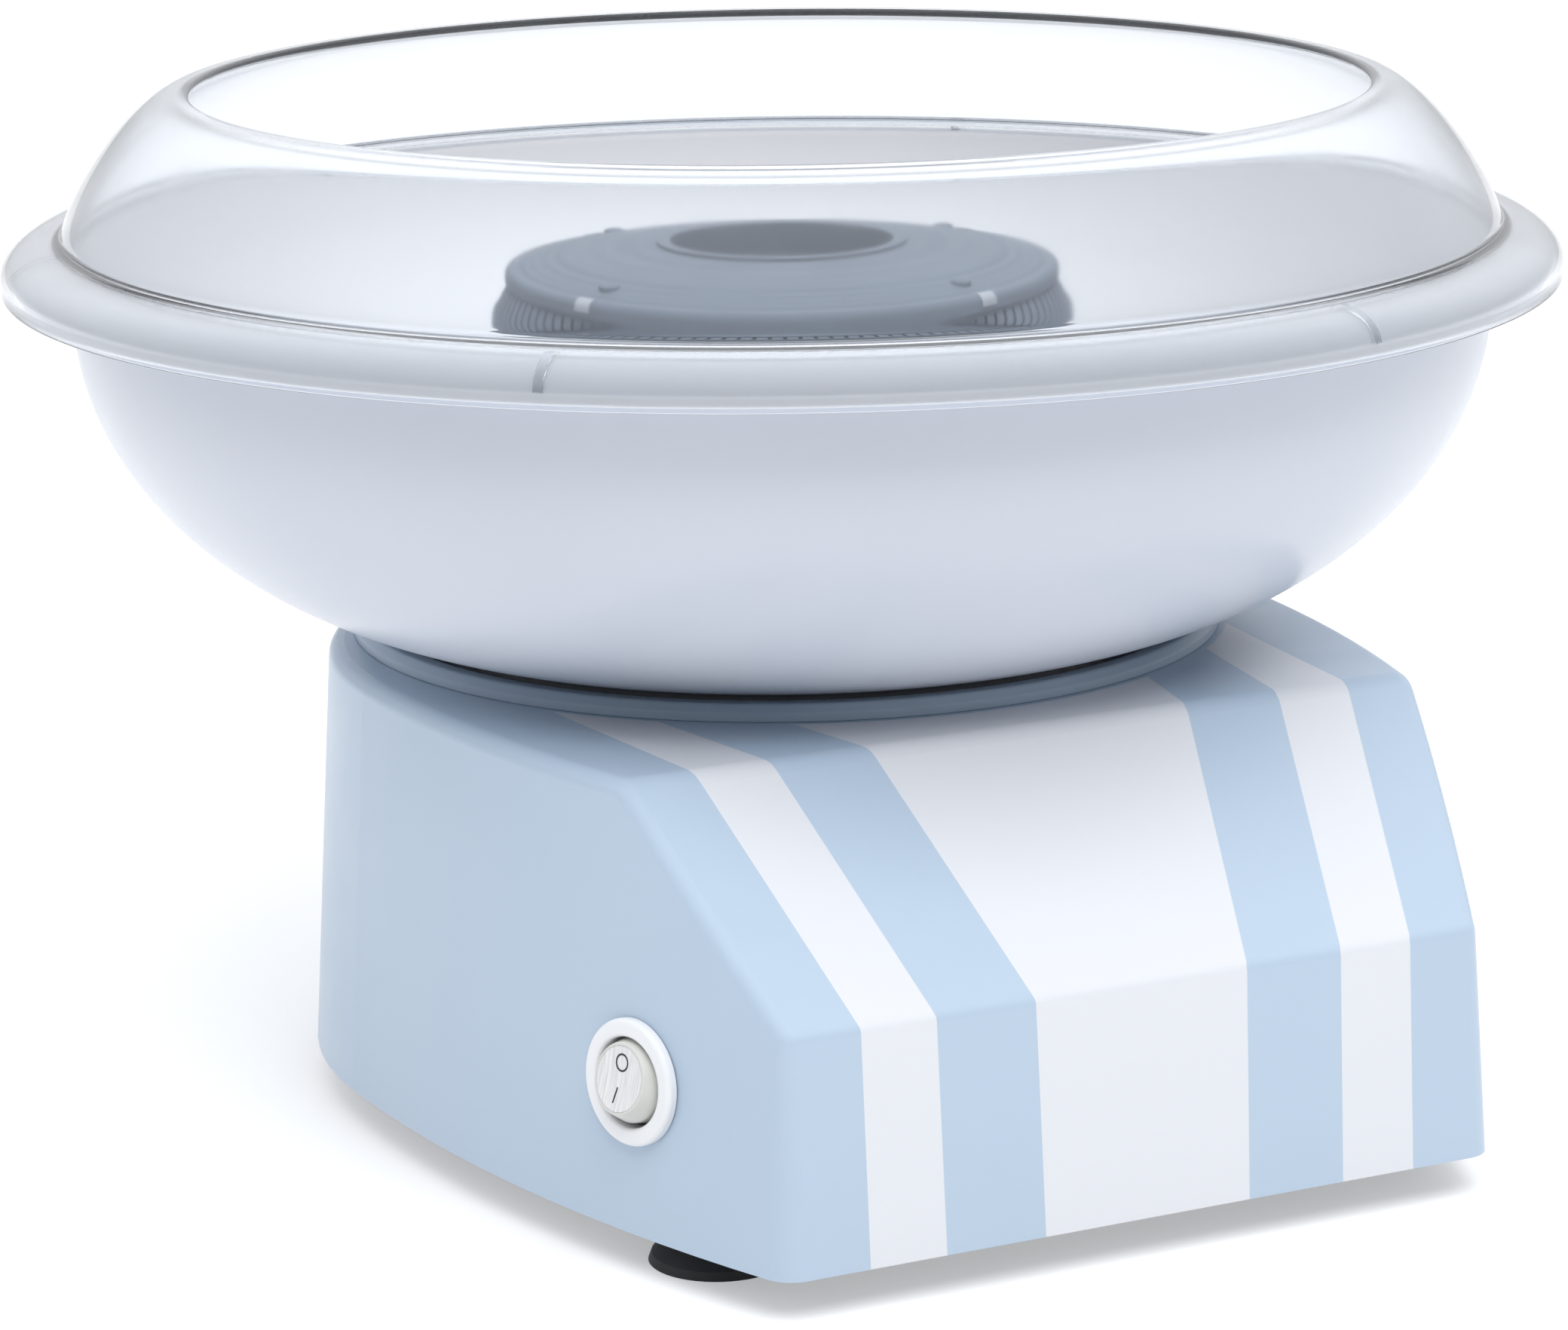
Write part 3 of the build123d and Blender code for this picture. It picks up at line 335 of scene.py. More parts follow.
# ---------------------------------------------------------------- mesh helpers
def finish_mesh(name, bm, mat, body, sharp=38):
    """Turns a bmesh in millimetres into a piece that rides on a body."""
    bmesh.ops.recalc_face_normals(bm, faces=bm.faces)
    bmesh.ops.scale(bm, vec=(MM, MM, MM), verts=bm.verts)
    limit = math.radians(sharp)
    for face in bm.faces:
        face.smooth = True
    for edge in bm.edges:
        if len(edge.link_faces) == 2 and edge.calc_face_angle(0) > limit:
            edge.smooth = False
    mesh = bpy.data.meshes.new(name)
    bm.to_mesh(mesh)
    bm.free()
    obj = bpy.data.objects.new(name, mesh)
    obj.data.materials.append(mat)
    bpy.context.scene.collection.objects.link(obj)
    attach(obj, body)
    return obj


def spin_profile(bm, profile, segments, place=None, closed=True):
    """Adds the solid of revolution of a (r, z) profile to a bmesh."""
    profile = without_repeats(profile) if closed else profile
    rings = []
    for r, z in profile:
        if r < 1e-4:
            rings.append([bm.verts.new((0, 0, z))])
        else:
            rings.append([
                bm.verts.new((r * math.cos(2 * math.pi * k / segments),
                              r * math.sin(2 * math.pi * k / segments), z))
                for k in range(segments)
            ])
    following = rings[1:] + rings[:1] if closed else rings[1:]
    for a, b in zip(rings, following):
        for k in range(segments):
            n = (k + 1) % segments
            corners = []
            for ring, index in ((a, k), (a, n), (b, n), (b, k)):
                vert = ring[index % len(ring)] if len(ring) > 1 else ring[0]
                if vert not in corners:
                    corners.append(vert)
            if len(corners) > 2:
                bm.faces.new(corners)
    if place is not None:
        bmesh.ops.transform(bm, matrix=place, verts=[v for ring in rings for v in ring])


def prism(bm, outline, low, high, place):
    """Adds a prism of an (x, y) outline."""
    foot, head = ([bm.verts.new((x, y, z)) for x, y in outline] for z in (low, high))
    for k in range(len(outline)):
        n = (k + 1) % len(outline)
        bm.faces.new((foot[k], foot[n], head[n], head[k]))
    bm.faces.new(list(reversed(foot)))
    bm.faces.new(head)
    bmesh.ops.transform(bm, matrix=place, verts=foot + head)


def arch_prism(bm, outer, inner, half, place):
    """Adds a web between two arcs, as thick as twice half."""
    inner = list(reversed(inner))
    rows = []
    for depth in (-half, half):
        rows.append([[bm.verts.new((*p, depth)) for p in arc] for arc in (outer, inner)])
    (a_out, a_in), (b_out, b_in) = rows
    last = len(outer) - 1
    for k in range(last):
        bm.faces.new((a_out[k], a_out[k + 1], a_in[k + 1], a_in[k]))
        bm.faces.new((b_out[k + 1], b_out[k], b_in[k], b_in[k + 1]))
        bm.faces.new((a_out[k + 1], a_out[k], b_out[k], b_out[k + 1]))
        bm.faces.new((a_in[k], a_in[k + 1], b_in[k + 1], b_in[k]))
    bm.faces.new((a_out[0], a_in[0], b_in[0], b_out[0]))
    bm.faces.new((a_in[last], a_out[last], b_out[last], b_in[last]))
    verts = [v for pair in rows for row in pair for v in row]
    bmesh.ops.transform(bm, matrix=place, verts=verts)


# takes (r, z, depth) to (x, y, z)
UPRIGHT = Matrix(((1, 0, 0, 0), (0, 0, 1, 0), (0, 1, 0, 0), (0, 0, 0, 1)))


def turn(angle):
    return Matrix.Rotation(math.radians(angle), 4, "Z")


def dress(material, *names):
    """Gives CAD nodes a material."""
    for name in names:
        mesh = NODES[name].data
        if not mesh.materials:
            mesh.materials.append(material.mat)
        for index in range(len(mesh.materials)):
            mesh.materials[index] = material.mat


# ---------------------------------------------------------------- materials
casing_mat = striped_casing()
ring_mat = moulded("blue_abs", BLUE, 0.34, peel=0.000003, vary=0.012, IOR=1.5)
cover_mat = moulded("grey_abs", (0.22, 0.235, 0.26), 0.55, grain=0.00002, vary=0.05)
rubber_mat = moulded("black_rubber", (0.018, 0.018, 0.02), 0.62, grain=0.000012, vary=0.2)
silicone_mat = moulded("silicone", (0.60, 0.63, 0.67), 0.45, vary=0.03)
head_mat = turned_metal("anodised_aluminium", (0.155, 0.19, 0.24), 0.6, metallic=0.35)
shield_mat = turned_metal("bright_aluminium", (0.68, 0.69, 0.71), 0.36)
steel_mat = metal("plated_steel", (0.56, 0.56, 0.58), 0.38)
sheath_mat = metal("heater_sheath", (0.17, 0.16, 0.165), 0.5)
# the band, spacers and skirt share the head's dark anodised tone, taken darker than bare steel as painted
# shade for the gap between disc and pan
shaded_band_mat = metal("slotted_steel_painted_shade", (0.17, 0.21, 0.265), 0.55, metallic=0.35, stretch=(1, 1, 9), scale=400)
tab_mat = metal("folded_tab", (0.42, 0.45, 0.49), 0.45, metallic=0.5)
copper_mat = metal("enamelled_copper", (0.70, 0.33, 0.16), 0.38, stretch=(1, 1, 12), scale=700)
brass_mat = metal("tinned_brass", (0.70, 0.55, 0.27), 0.38)
bronze_mat = metal("sintered_bronze", (0.45, 0.32, 0.17), 0.5)
ferrite_mat = moulded("ferrite", (0.05, 0.05, 0.055), 0.65, grain=0.00002, vary=0.15)
carbon_mat = moulded("carbon", (0.03, 0.03, 0.033), 0.5, vary=0.2)
ceramic_mat = moulded("steatite", (0.78, 0.76, 0.70), 0.7, grain=0.00002, vary=0.06)
board_mat = moulded("solder_mask", (0.025, 0.13, 0.06), 0.35, vary=0.1)
black_mat = moulded("black_plastic", (0.022, 0.022, 0.025), 0.35, vary=0.15)
sleeve_mat = moulded("capacitor_sleeve", (0.02, 0.04, 0.15), 0.34, vary=0.1)
nylon_mat = moulded("grey_nylon", (0.42, 0.45, 0.42), 0.42, vary=0.05)
brown_mat = moulded("brown_pvc", (0.12, 0.045, 0.018), 0.42, vary=0.1)
red_mat = moulded("red_pvc", (0.36, 0.02, 0.015), 0.42, vary=0.1)
glass_fibre_mat = moulded("glass_fibre", (0.68, 0.66, 0.61), 0.75, grain=0.00003, vary=0.08)
switch_mat = moulded("switch_white", (0.78, 0.79, 0.805), 0.23, peel=0.000003, vary=0.01, IOR=1.5)
rocker_mat = moulded("milky_polycarbonate", (0.68, 0.685, 0.65), 0.23, peel=0.000003, vary=0.015,
                     IOR=1.5, Transmission_Weight=0.12)
ink_mat = moulded("black_ink", (0.012, 0.012, 0.014), 0.4, peel=0.000002, vary=0.1)


def clear_plastic():
    """Clear moulded plastic, slightly hazy and slightly wavy."""
    m = Nodes("clear_polystyrene").set(Transmission_Weight=0.97, IOR=1.46,
                                       Base_Color=(0.95, 0.97, 1.0, 1))
    haze = m.noise(45, 3, 0.55)
    m.to("Roughness", m.span(haze, 0.03, 0.07))
    m.to("Normal", m.bump(m.noise(30, 2), 0.00002, 0.4))
    return m


clear_mat = clear_plastic()

dress(casing_mat, "base_housing")
dress(cover_mat, "bottom_cover")
dress(rubber_mat, "cord_inlet_bush", "rubber_grommets")
dress(silicone_mat, "bowl_gasket")
dress(head_mat, "head_hub", "sugar_funnel")
dress(shaded_band_mat, "head_mesh_band", "head_spacers")
dress(steel_mat, "motor_shaft", "drive_pin", "motor_can", "motor_plate",
      "motor_mount_screws", "motor_screws", "tower_screws", "board_screws", "cover_screws")
dress(black_mat, "shaft_collar", "motor_end_cap", "thermal_cutoff", "rectifier_diodes")
dress(ferrite_mat, "motor_magnets")
dress(bronze_mat, "front_bearing", "rear_bearing")
dress(sheath_mat, "armature", "heater_element")
dress(copper_mat, "armature_windings", "commutator")
dress(carbon_mat, "brushes")
dress(shield_mat, "heat_shield_tower", "tower_floor", "heat_reflector")
dress(ceramic_mat, "heater_insulators", "heater_posts")
dress(board_mat, "circuit_board")
dress(sleeve_mat, "smoothing_capacitor")
dress(nylon_mat, "terminal_block")
dress(brass_mat, "switch_terminals")
dress(brown_mat, "switch_leads")
dress(red_mat, "motor_leads")
dress(glass_fibre_mat, "heater_leads")
dress(rubber_mat, "suction_feet")


# ---------------------------------------------------------------- bowl
BOWL_CENTRE, BOWL_RADII, BOWL_WALL = (54.1, 158.1), (87.1, 67.2), 2.0
BOWL_HOLE, COLLAR_TOP = 62.0, 106.0
LIP_RADII, LIP_TOP, LIP_BOTTOM = (9.6, 5.0), 170.2, 163.2
FOOT_OUTER, FOOT_INNER, FOOT_LOW, FOOT_MEETS = 73.4, 70.6, 87.4, 72
LID_RADIUS, LID_SKIRT, LID_BEAD_Z, LID_BEAD_HEIGHT = 155.0, 162.4, 165.2, 7.2
LID_STEP, LID_WALL, LID_CREST, LID_HOLE = 143.2, 1.6, (119.3, 200.1), 116.8

# one white plastic in painted light and shade: the outside a greyer copy (painted shade), the lip and the
# inside brighter copies (painted light), the bowl's floor a darker copy (painted shade)
BOWL_OUTSIDE_PAINTED_SHADE, BOWL_LIP_PAINTED_LIGHT = (0.59, 0.62, 0.685), (0.92, 0.93, 0.955)
BOWL_INSIDE_PAINTED_LIGHT, BOWL_FLOOR_PAINTED_SHADE = (0.92, 0.925, 0.94), (0.77, 0.785, 0.815)
# where one colour gives way to the next: on a scale where the bowl's outer surface is at 1, and
# for the floor as heights in metres
LIP_LIGHT_FADE, INSIDE_LIGHT_FADE, FLOOR_SHADE_FADE = (1.015, 1.05), (0.965, 0.985), (0.112, 0.150)


def white_bowl_painted_light_and_shade():
    """White polypropylene in painted light and shade: a greyer outside as painted shade, a brighter lip and
    inside as painted light, and darker towards the bowl's floor as painted shade.
    """
    m = moulded("white_pp_painted_light_and_shade", BOWL_OUTSIDE_PAINTED_SHADE, 0.235, peel=0.000004, vary=0.01, IOR=1.46,
                Specular_IOR_Level=0.35)
    z = m.split()[2]
    out = m.math("DIVIDE", m.math("SUBTRACT", m.radius(), BOWL_CENTRE[0] * MM), BOWL_RADII[0] * MM)
    down = m.math("SUBTRACT", m.math("MINIMUM", z, BOWL_CENTRE[1] * MM), BOWL_CENTRE[1] * MM)
    down = m.math("DIVIDE", down, BOWL_RADII[1] * MM)
    level = m.math("ADD", m.math("MULTIPLY", out, out), m.math("MULTIPLY", down, down))
    # painted light: the lip under the clear bead is made much brighter than the outside
    m.over(m.span(level, 0, 1, *LIP_LIGHT_FADE), BOWL_LIP_PAINTED_LIGHT)
    # painted light on the inside walls, fading to painted shade towards the bowl's floor
    painted_inside_light_and_shade = m.mix(m.span(z, 0, 1, *FLOOR_SHADE_FADE), BOWL_FLOOR_PAINTED_SHADE, BOWL_INSIDE_PAINTED_LIGHT)
    m.over(m.span(level, 1, 0, *INSIDE_LIGHT_FADE), painted_inside_light_and_shade)
    return m


white_mat = white_bowl_painted_light_and_shade()


def wall_angle(radius, drop=0.0):
    """The angle on the bowl's ellipse, made smaller by drop, that is at a radius."""
    x = (radius - BOWL_CENTRE[0]) / (BOWL_RADII[0] - drop)
    return -math.degrees(math.acos(x))


def wall_height(radius, drop=0.0):
    """The height of the bowl's ellipse, made smaller by drop, at a radius."""
    x = (radius - BOWL_CENTRE[0]) / (BOWL_RADII[0] - drop)
    return BOWL_CENTRE[1] - (BOWL_RADII[1] - drop) * math.sqrt(1 - x * x)


def make_bowl():
    edge = BOWL_CENTRE[0] + BOWL_RADII[0]
    inner = edge - BOWL_WALL
    collar = BOWL_HOLE + BOWL_WALL
    inside_radii = (BOWL_RADII[0] - BOWL_WALL, BOWL_RADII[1] - BOWL_WALL)
    profile = ellipse_arc(BOWL_CENTRE, BOWL_RADII, wall_angle(BOWL_HOLE), 0, 72)
    under = LIP_TOP - BOWL_WALL
    lip_out = LID_STEP + LIP_RADII[0]
    lip_in = lip_out - BOWL_WALL
    profile += softened([
        (edge, BOWL_CENTRE[1] + 0.2, 0), (edge, under, 1.4), (LID_STEP - 0.1, under, 0),
    ], count=6, closed=False)
    profile += ellipse_arc((LID_STEP, LID_BEAD_Z), (lip_in - LID_STEP, under - LID_BEAD_Z), 88, 2, 14)
    profile += softened([
        (lip_in, LID_BEAD_Z, 0), (lip_in, LIP_BOTTOM, 0.6), (lip_out, LIP_BOTTOM, 0.6),
        (lip_out, LID_BEAD_Z - 0.1, 0),
    ], count=5, closed=False)
    profile += ellipse_arc((LID_STEP, LID_BEAD_Z), LIP_RADII, 2, 88, 20)
    profile += softened([
        (LID_STEP - 0.1, LIP_TOP, 0), (inner, LIP_TOP, 1.5), (inner, BOWL_CENTRE[1] + 0.2, 0),
    ], count=8, closed=False)
    profile += ellipse_arc(BOWL_CENTRE, inside_radii, 0, wall_angle(collar, BOWL_WALL), 72)
    floor, collar_top = wall_height(collar, BOWL_WALL), COLLAR_TOP - 0.02
    profile += softened([
        (collar + 0.3, floor, 0), (collar, floor + 0.4, 0.3), (collar, collar_top, 0.9),
        (BOWL_HOLE, collar_top, 0.9), (BOWL_HOLE, wall_height(BOWL_HOLE) + 0.2, 0),
    ], count=5, closed=False)
    bm = bmesh.new()
    spin_profile(bm, profile, 288)
    foot_top = wall_height(FOOT_MEETS) + 0.6
    spin_profile(bm, softened([
        (FOOT_OUTER, FOOT_LOW, 0.6), (FOOT_OUTER, foot_top, 0), (FOOT_INNER, foot_top, 0),
        (FOOT_INNER, FOOT_LOW, 0.6),
    ]), 288)
    bowl = finish_mesh("bowl_shell", bm, white_mat.mat, "bowl")
    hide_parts("bowl")


make_bowl()

# ---------------------------------------------------------------- clear guard
RIB_ANGLES, RIB_HALF, RIB_GAP = [168 + 60 * k for k in range(6)], 0.9, (0.08, 0.1)


def make_lid():
    t, bead, top = LID_WALL, LID_RADIUS - LID_STEP, LID_BEAD_Z + LID_BEAD_HEIGHT
    r, (cr, cz) = LID_STEP, LID_CREST
    edge = LID_HOLE + t / 2
    profile = [(LID_RADIUS - t - 0.1, LID_SKIRT + 0.3), (LID_RADIUS - t + 0.2, LID_SKIRT)]
    profile += softened([
        (LID_RADIUS - t + 0.3, LID_SKIRT, 0), (LID_RADIUS - 0.1, LID_SKIRT, 0.5),
        (LID_RADIUS - 0.02, LID_BEAD_Z - 0.4, 0),
    ], closed=False)
    profile += ellipse_arc((r, LID_BEAD_Z), (bead, LID_BEAD_HEIGHT), 0, 82, 26)
    start = profile[-1]
    profile += bezier(start, (r + 0.4, top + 0.05), (r - 0.25, top + 0.4), (r - 0.42, top + 1.5), 6)[1:]
    profile += bezier((r - 0.42, top + 1.5), (r - 2.0, top + 7.0), (cr + 9.2, cz), (cr, cz), 40)[1:]
    profile += ellipse_arc((edge, cz - t / 2), (t / 2, t / 2), 90, 270, 14)
    profile += bezier((cr, cz - t), (cr + 8.7, cz - t), (r - 1.7 - t, top + 5.6), (r - t, top), 40)
    profile += softened([
        (r - t, top - 0.2, 0), (r - t, top - t, 0.35), (r - 0.2, top - t, 0),
    ], closed=False)
    profile += ellipse_arc((r, LID_BEAD_Z), (bead - t, LID_BEAD_HEIGHT - t), 88, 0, 24)
    bm = bmesh.new()
    spin_profile(bm, profile, 320)
    lid = finish_mesh("guard_shell", bm, clear_mat.mat, "lid", sharp=50)
    bm = bmesh.new()
    centre, (out_gap, in_gap) = (r, LID_BEAD_Z), RIB_GAP
    outer = ellipse_arc(centre, (bead - t - out_gap, LID_BEAD_HEIGHT - t - out_gap), 1, 92, 12)
    inner = ellipse_arc(centre, (LIP_RADII[0] + in_gap, LIP_RADII[1] + in_gap), 92, 1, 12)
    for angle in RIB_ANGLES:
        arch_prism(bm, outer, inner, RIB_HALF, turn(angle) @ UPRIGHT)
    finish_mesh("guard_ribs", bm, clear_mat.mat, "lid")
    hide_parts("lid")


make_lid()

# ---------------------------------------------------------------- seat ring
RECESS_RADIUS, RECESS_Z, DECK_Z = 83.0, 86.0, 90.6


def make_ring():
    inner, step, outer = RECESS_RADIUS - 2.2, RECESS_RADIUS - 0.2, RECESS_RADIUS + 5.0
    low, top = RECESS_Z + 0.05, DECK_Z + 3.2
    bm = bmesh.new()
    spin_profile(bm, softened([
        (inner, low, 0.3), (step, low, 0.3), (step, DECK_Z + 0.05, 0.1), (outer, DECK_Z + 0.05, 0.1),
        (outer - 0.3, DECK_Z + 1.6, 0.9), (outer - 1.7, top, 1.0), (step + 0.7, top, 1.0),
        (inner, top - 2.3, 0.8),
    ], count=6), 256)
    ring = finish_mesh("seat_ring", bm, ring_mat.mat, "base")
    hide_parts("bowl_seat_ring")


make_ring()

# ---------------------------------------------------------------- switch
# Millimetres, with heights above the wall along the switch's own axis; angles are in degrees.
WALL_LEAN = 3.5
TRUNNION_DEPTH, TRUNNION_RADIUS, ROCKER_TILT = 2.0, 1.2, -10.0
BEZEL_RADIUS, BEZEL_LOW, BEZEL_HEIGHT = 11.75, 0.05, 2.0
BEZEL_EDGE, BEZEL_LIP = 1.3, 0.7
WELL_RADIUS, WELL_FLOOR, BARREL_RADIUS, BARREL_END = 8.4, -7.0, 9.9, -18.0
ROCKER_RADIUS, FACE_RADIUS, ROCKER_TOP, ROCKER_BACK, DISH = 7.9, 6.6, 3.8, -3.0, 40.0
PLATE_RADIUS, PLATE_GAP, PLATE_BACK, SEAT_FLOOR = 6.0, 0.05, 2.95, 2.9
MARK_STROKE, MARK_BACK, MARK_RISE = 0.36, -0.12, 0.03
MARK_RING = (1.7, -0.15, 3.0)  # radius, then its place on the face
MARK_BAR = ((-0.38, -1.42), (-0.88, -4.8))


def switch_place():
    """The matrix from the switch's own axes, in millimetres, to the wall that holds it."""
    hinge = next(j for j in frame["joints"] if j["name"] == "rocker_tilt")
    along = Vector(hinge["axis"]).normalized()
    flat = Vector((along.y, -along.x, 0))
    lean = math.radians(WALL_LEAN)
    out = flat * math.cos(lean) + Vector((0, 0, math.sin(lean)))
    origin = Vector(hinge["pos_m"]) / MM + out * TRUNNION_DEPTH
    return axes_at(origin, along, out.cross(along), out)


SWITCH = switch_place()
TO_TRUNNION = Matrix.Translation((0, 0, -TRUNNION_DEPTH))
SWUNG = (SWITCH @ TO_TRUNNION @ Matrix.Rotation(math.radians(ROCKER_TILT), 4, "X")
         @ Matrix.Translation((0, 0, TRUNNION_DEPTH)))


def ribbed_face():
    """Translucent white with fine moulded lines that run up the face."""
    m = Nodes("rocker_face").set(IOR=1.5, Subsurface_Weight=0.1, Subsurface_Scale=0.001)
    m.shader.inputs["Subsurface Radius"].default_value = (1.0, 0.95, 0.85)
    across = m.add("ShaderNodeVectorMath", operation="DOT_PRODUCT")
    across.inputs[1].default_value = SWITCH.col[0].xyz
    m.link(m.coords, across.inputs[0])
    rise = m.math("MULTIPLY", m.split()[2], 0.06)
    streaks = m.noise(1900, 2, source=m.vector(X=across.outputs["Value"], Y=rise))
    m.to("Base Color", m.mix(m.span(streaks, 0, 1), (0.60, 0.605, 0.61), (0.80, 0.80, 0.80)))
    m.to("Roughness", m.span(m.noise(300, 3), 0.29, 0.36))
    m.to("Normal", m.bump(streaks, 0.00008))
    return m


def dish_height(r):
    """The height of the rocker's dished face at a radius."""
    return ROCKER_TOP - 0.4 + DISH - math.sqrt(DISH ** 2 - r ** 2)


def on_face(x, y):
    """A matrix that lays a flat mark on the dished face at (x, y)."""
    out = Vector((-x, -y, DISH)).normalized()
    along = Vector((1, 0, x / DISH)).normalized()
    here = Vector((x, y, dish_height(math.hypot(x, y))))
    return SWUNG @ axes_at(here, along, out.cross(along), out)


def make_bezel():
    top = BEZEL_LOW + BEZEL_HEIGHT
    bm = bmesh.new()
    spin_profile(bm, softened([
        (BEZEL_RADIUS, BEZEL_LOW, 0.15), (BEZEL_RADIUS, top, BEZEL_EDGE), (WELL_RADIUS, top, BEZEL_LIP),
        (WELL_RADIUS, WELL_FLOOR, 0.3), (0.001, WELL_FLOOR, 0), (0.001, BARREL_END, 0),
        (BARREL_RADIUS, BARREL_END, 0.5), (BARREL_RADIUS, BEZEL_LOW, 0),
    ], count=8), 160, place=SWITCH)
    body = finish_mesh("switch_bezel", bm, switch_mat.mat, "base")
    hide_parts("switch_body")


def make_rocker():
    bm = bmesh.new()
    seat = PLATE_RADIUS + PLATE_GAP
    profile = [(0, SEAT_FLOOR), (seat, SEAT_FLOOR), (seat, dish_height(seat))]
    profile += softened([
        (seat + 0.02, dish_height(seat) + 0.005, 0), (FACE_RADIUS, ROCKER_TOP, 0.5),
        (ROCKER_RADIUS, 0.4, 0.4), (ROCKER_RADIUS, ROCKER_BACK, 0.3), (0, ROCKER_BACK, 0),
    ], count=8, closed=False)
    spin_profile(bm, profile, 144, place=SWUNG)
    pin = SWUNG @ TO_TRUNNION @ Matrix.Rotation(math.radians(90), 4, "Y")
    for side in (-1, 1):
        ends = [side * 7.0, side * 9.1]
        spin_profile(bm, [(0, ends[0]), (TRUNNION_RADIUS, ends[0]), (TRUNNION_RADIUS, ends[1]),
                          (0, ends[1])], 32, place=pin)
    rocker = finish_mesh("rocker_button", bm, rocker_mat.mat, "rocker")
    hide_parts("switch_rocker")

    bm = bmesh.new()
    face = [(PLATE_RADIUS * k / 12, dish_height(PLATE_RADIUS * k / 12)) for k in range(13)]
    spin_profile(bm, face + [(PLATE_RADIUS, PLATE_BACK), (0, PLATE_BACK)], 144, place=SWUNG)
    finish_mesh("rocker_plate", bm, ribbed_face().mat, "rocker")


def make_marks():
    """The generic off ring and on bar, inked on the rocker's face."""
    bm = bmesh.new()
    (radius, x, y), top = MARK_RING, MARK_RISE + 0.03
    spin_profile(bm, [(radius - MARK_STROKE, MARK_BACK), (radius, MARK_BACK), (radius, top),
                      (radius - MARK_STROKE, top)], 64, place=on_face(x, y))
    (ax, ay), (bx, by) = MARK_BAR
    long, wide = math.dist(*MARK_BAR) / 2, MARK_STROKE / 2
    turned = (on_face((ax + bx) / 2, (ay + by) / 2)
              @ Matrix.Rotation(math.atan2(by - ay, bx - ax), 4, "Z"))
    bar = [(-long, -wide), (long, -wide), (long, wide), (-long, wide)]
    prism(bm, bar, MARK_BACK, MARK_RISE, place=turned)
    finish_mesh("rocker_marks", bm, ink_mat.mat, "rocker")


make_bezel()
make_rocker()
make_marks()

# ---------------------------------------------------------------- spinning head
HEAD_RADIUS, HEAD_EDGE_Z, HEAD_CROWN_Z, SUGAR_RADIUS = 55.5, 162.4, 166.7, 23.6
HEAD_SKIN, HEAD_ROLL, HEAD_MIDDLE = 1.2, 2.6, 41.0
PAN_RADIUS, PAN_RIM_Z, PAN_FLOOR_Z, HUB_RADIUS = 58.5, 153.6, 138.0, 9.0
FIXING_RADIUS, FIXING_ANGLES = 48.0, [20 + 90 * k for k in range(4)]  # screws and tabs
SCREW_RADIUS, SCREW_HEAD_RADIUS, SCREW_LOW, SCREW_SEAT = 1.2, 2.2, 157.2, 163.0
DOME_LOW, DOME_TOP, DOME_RISE = 163.9, 164.65, 0.75
TAB_OUTER, TAB_INNER, TAB_HALF = 1.8, 1.53, 2.0
LOUVRES, LOUVRE_SHARE = 120, 0.72
SKIRT_SECTION = [(54.1, 159.7), (54.7, 159.7), (58.0, 154.2), (57.4, 154.2)]
SKIRT_TOP_RING = [(53.9, 159.4), (54.9, 159.4), (54.7, 160.1), (53.9, 160.1)]
SKIRT_LOW_RING = [(57.3, 153.75), (58.3, 153.75), (58.1, 154.7), (57.3, 154.7)]


def three_point_arc(a, b, c, count):
    """Points of the circle through a, b and c, from a to c."""
    (ax, ay), (bx, by), (cx, cy) = a, b, c
    d = 2 * (ax * (by - cy) + bx * (cy - ay) + cx * (ay - by))
    a2, b2, c2 = ax * ax + ay * ay, bx * bx + by * by, cx * cx + cy * cy
    ux = (a2 * (by - cy) + b2 * (cy - ay) + c2 * (ay - by)) / d
    uy = (a2 * (cx - bx) + b2 * (ax - cx) + c2 * (bx - ax)) / d
    radius = math.dist((ux, uy), a)
    start, end = math.atan2(ay - uy, ax - ux), math.atan2(cy - uy, cx - ux)
    steps = [start + (end - start) * i / count for i in range(count + 1)]
    return [(ux + radius * math.cos(t), uy + radius * math.sin(t)) for t in steps]


def make_disc():
    """The domed disc: its underside, its rolled edge, its top and the sugar opening."""
    edge, inside = HEAD_RADIUS - HEAD_ROLL, HEAD_CROWN_Z - HEAD_SKIN
    low = HEAD_EDGE_Z - HEAD_ROLL
    profile = three_point_arc((SUGAR_RADIUS + 0.4, inside), (HEAD_MIDDLE, HEAD_CROWN_Z - 1.55 - HEAD_SKIN),
                              (edge, HEAD_EDGE_Z - HEAD_SKIN), 24)
    profile += softened([
        (HEAD_RADIUS - 2.4, HEAD_EDGE_Z - HEAD_SKIN - 0.1, 0), (HEAD_RADIUS - HEAD_SKIN, low, 0.2),
        (HEAD_RADIUS, low, 0.4), (HEAD_RADIUS, HEAD_EDGE_Z, 1.5), (edge, HEAD_EDGE_Z + 0.12, 0),
    ], count=8, closed=False)
    profile += three_point_arc((HEAD_RADIUS - 2.8, HEAD_EDGE_Z + 0.17), (HEAD_MIDDLE, HEAD_CROWN_Z - 1.5),
                               (SUGAR_RADIUS + 0.5, HEAD_CROWN_Z), 30)
    profile += [(SUGAR_RADIUS + 0.15, HEAD_CROWN_Z - 0.12), (SUGAR_RADIUS, HEAD_CROWN_Z - 0.45),
                (SUGAR_RADIUS, HEAD_CROWN_Z - HEAD_SKIN + 0.2)]
    bm = bmesh.new()
    spin_profile(bm, profile, 256)
    disc = finish_mesh("head_top", bm, head_mat.mat, "head")
    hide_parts("head_upper_disc")


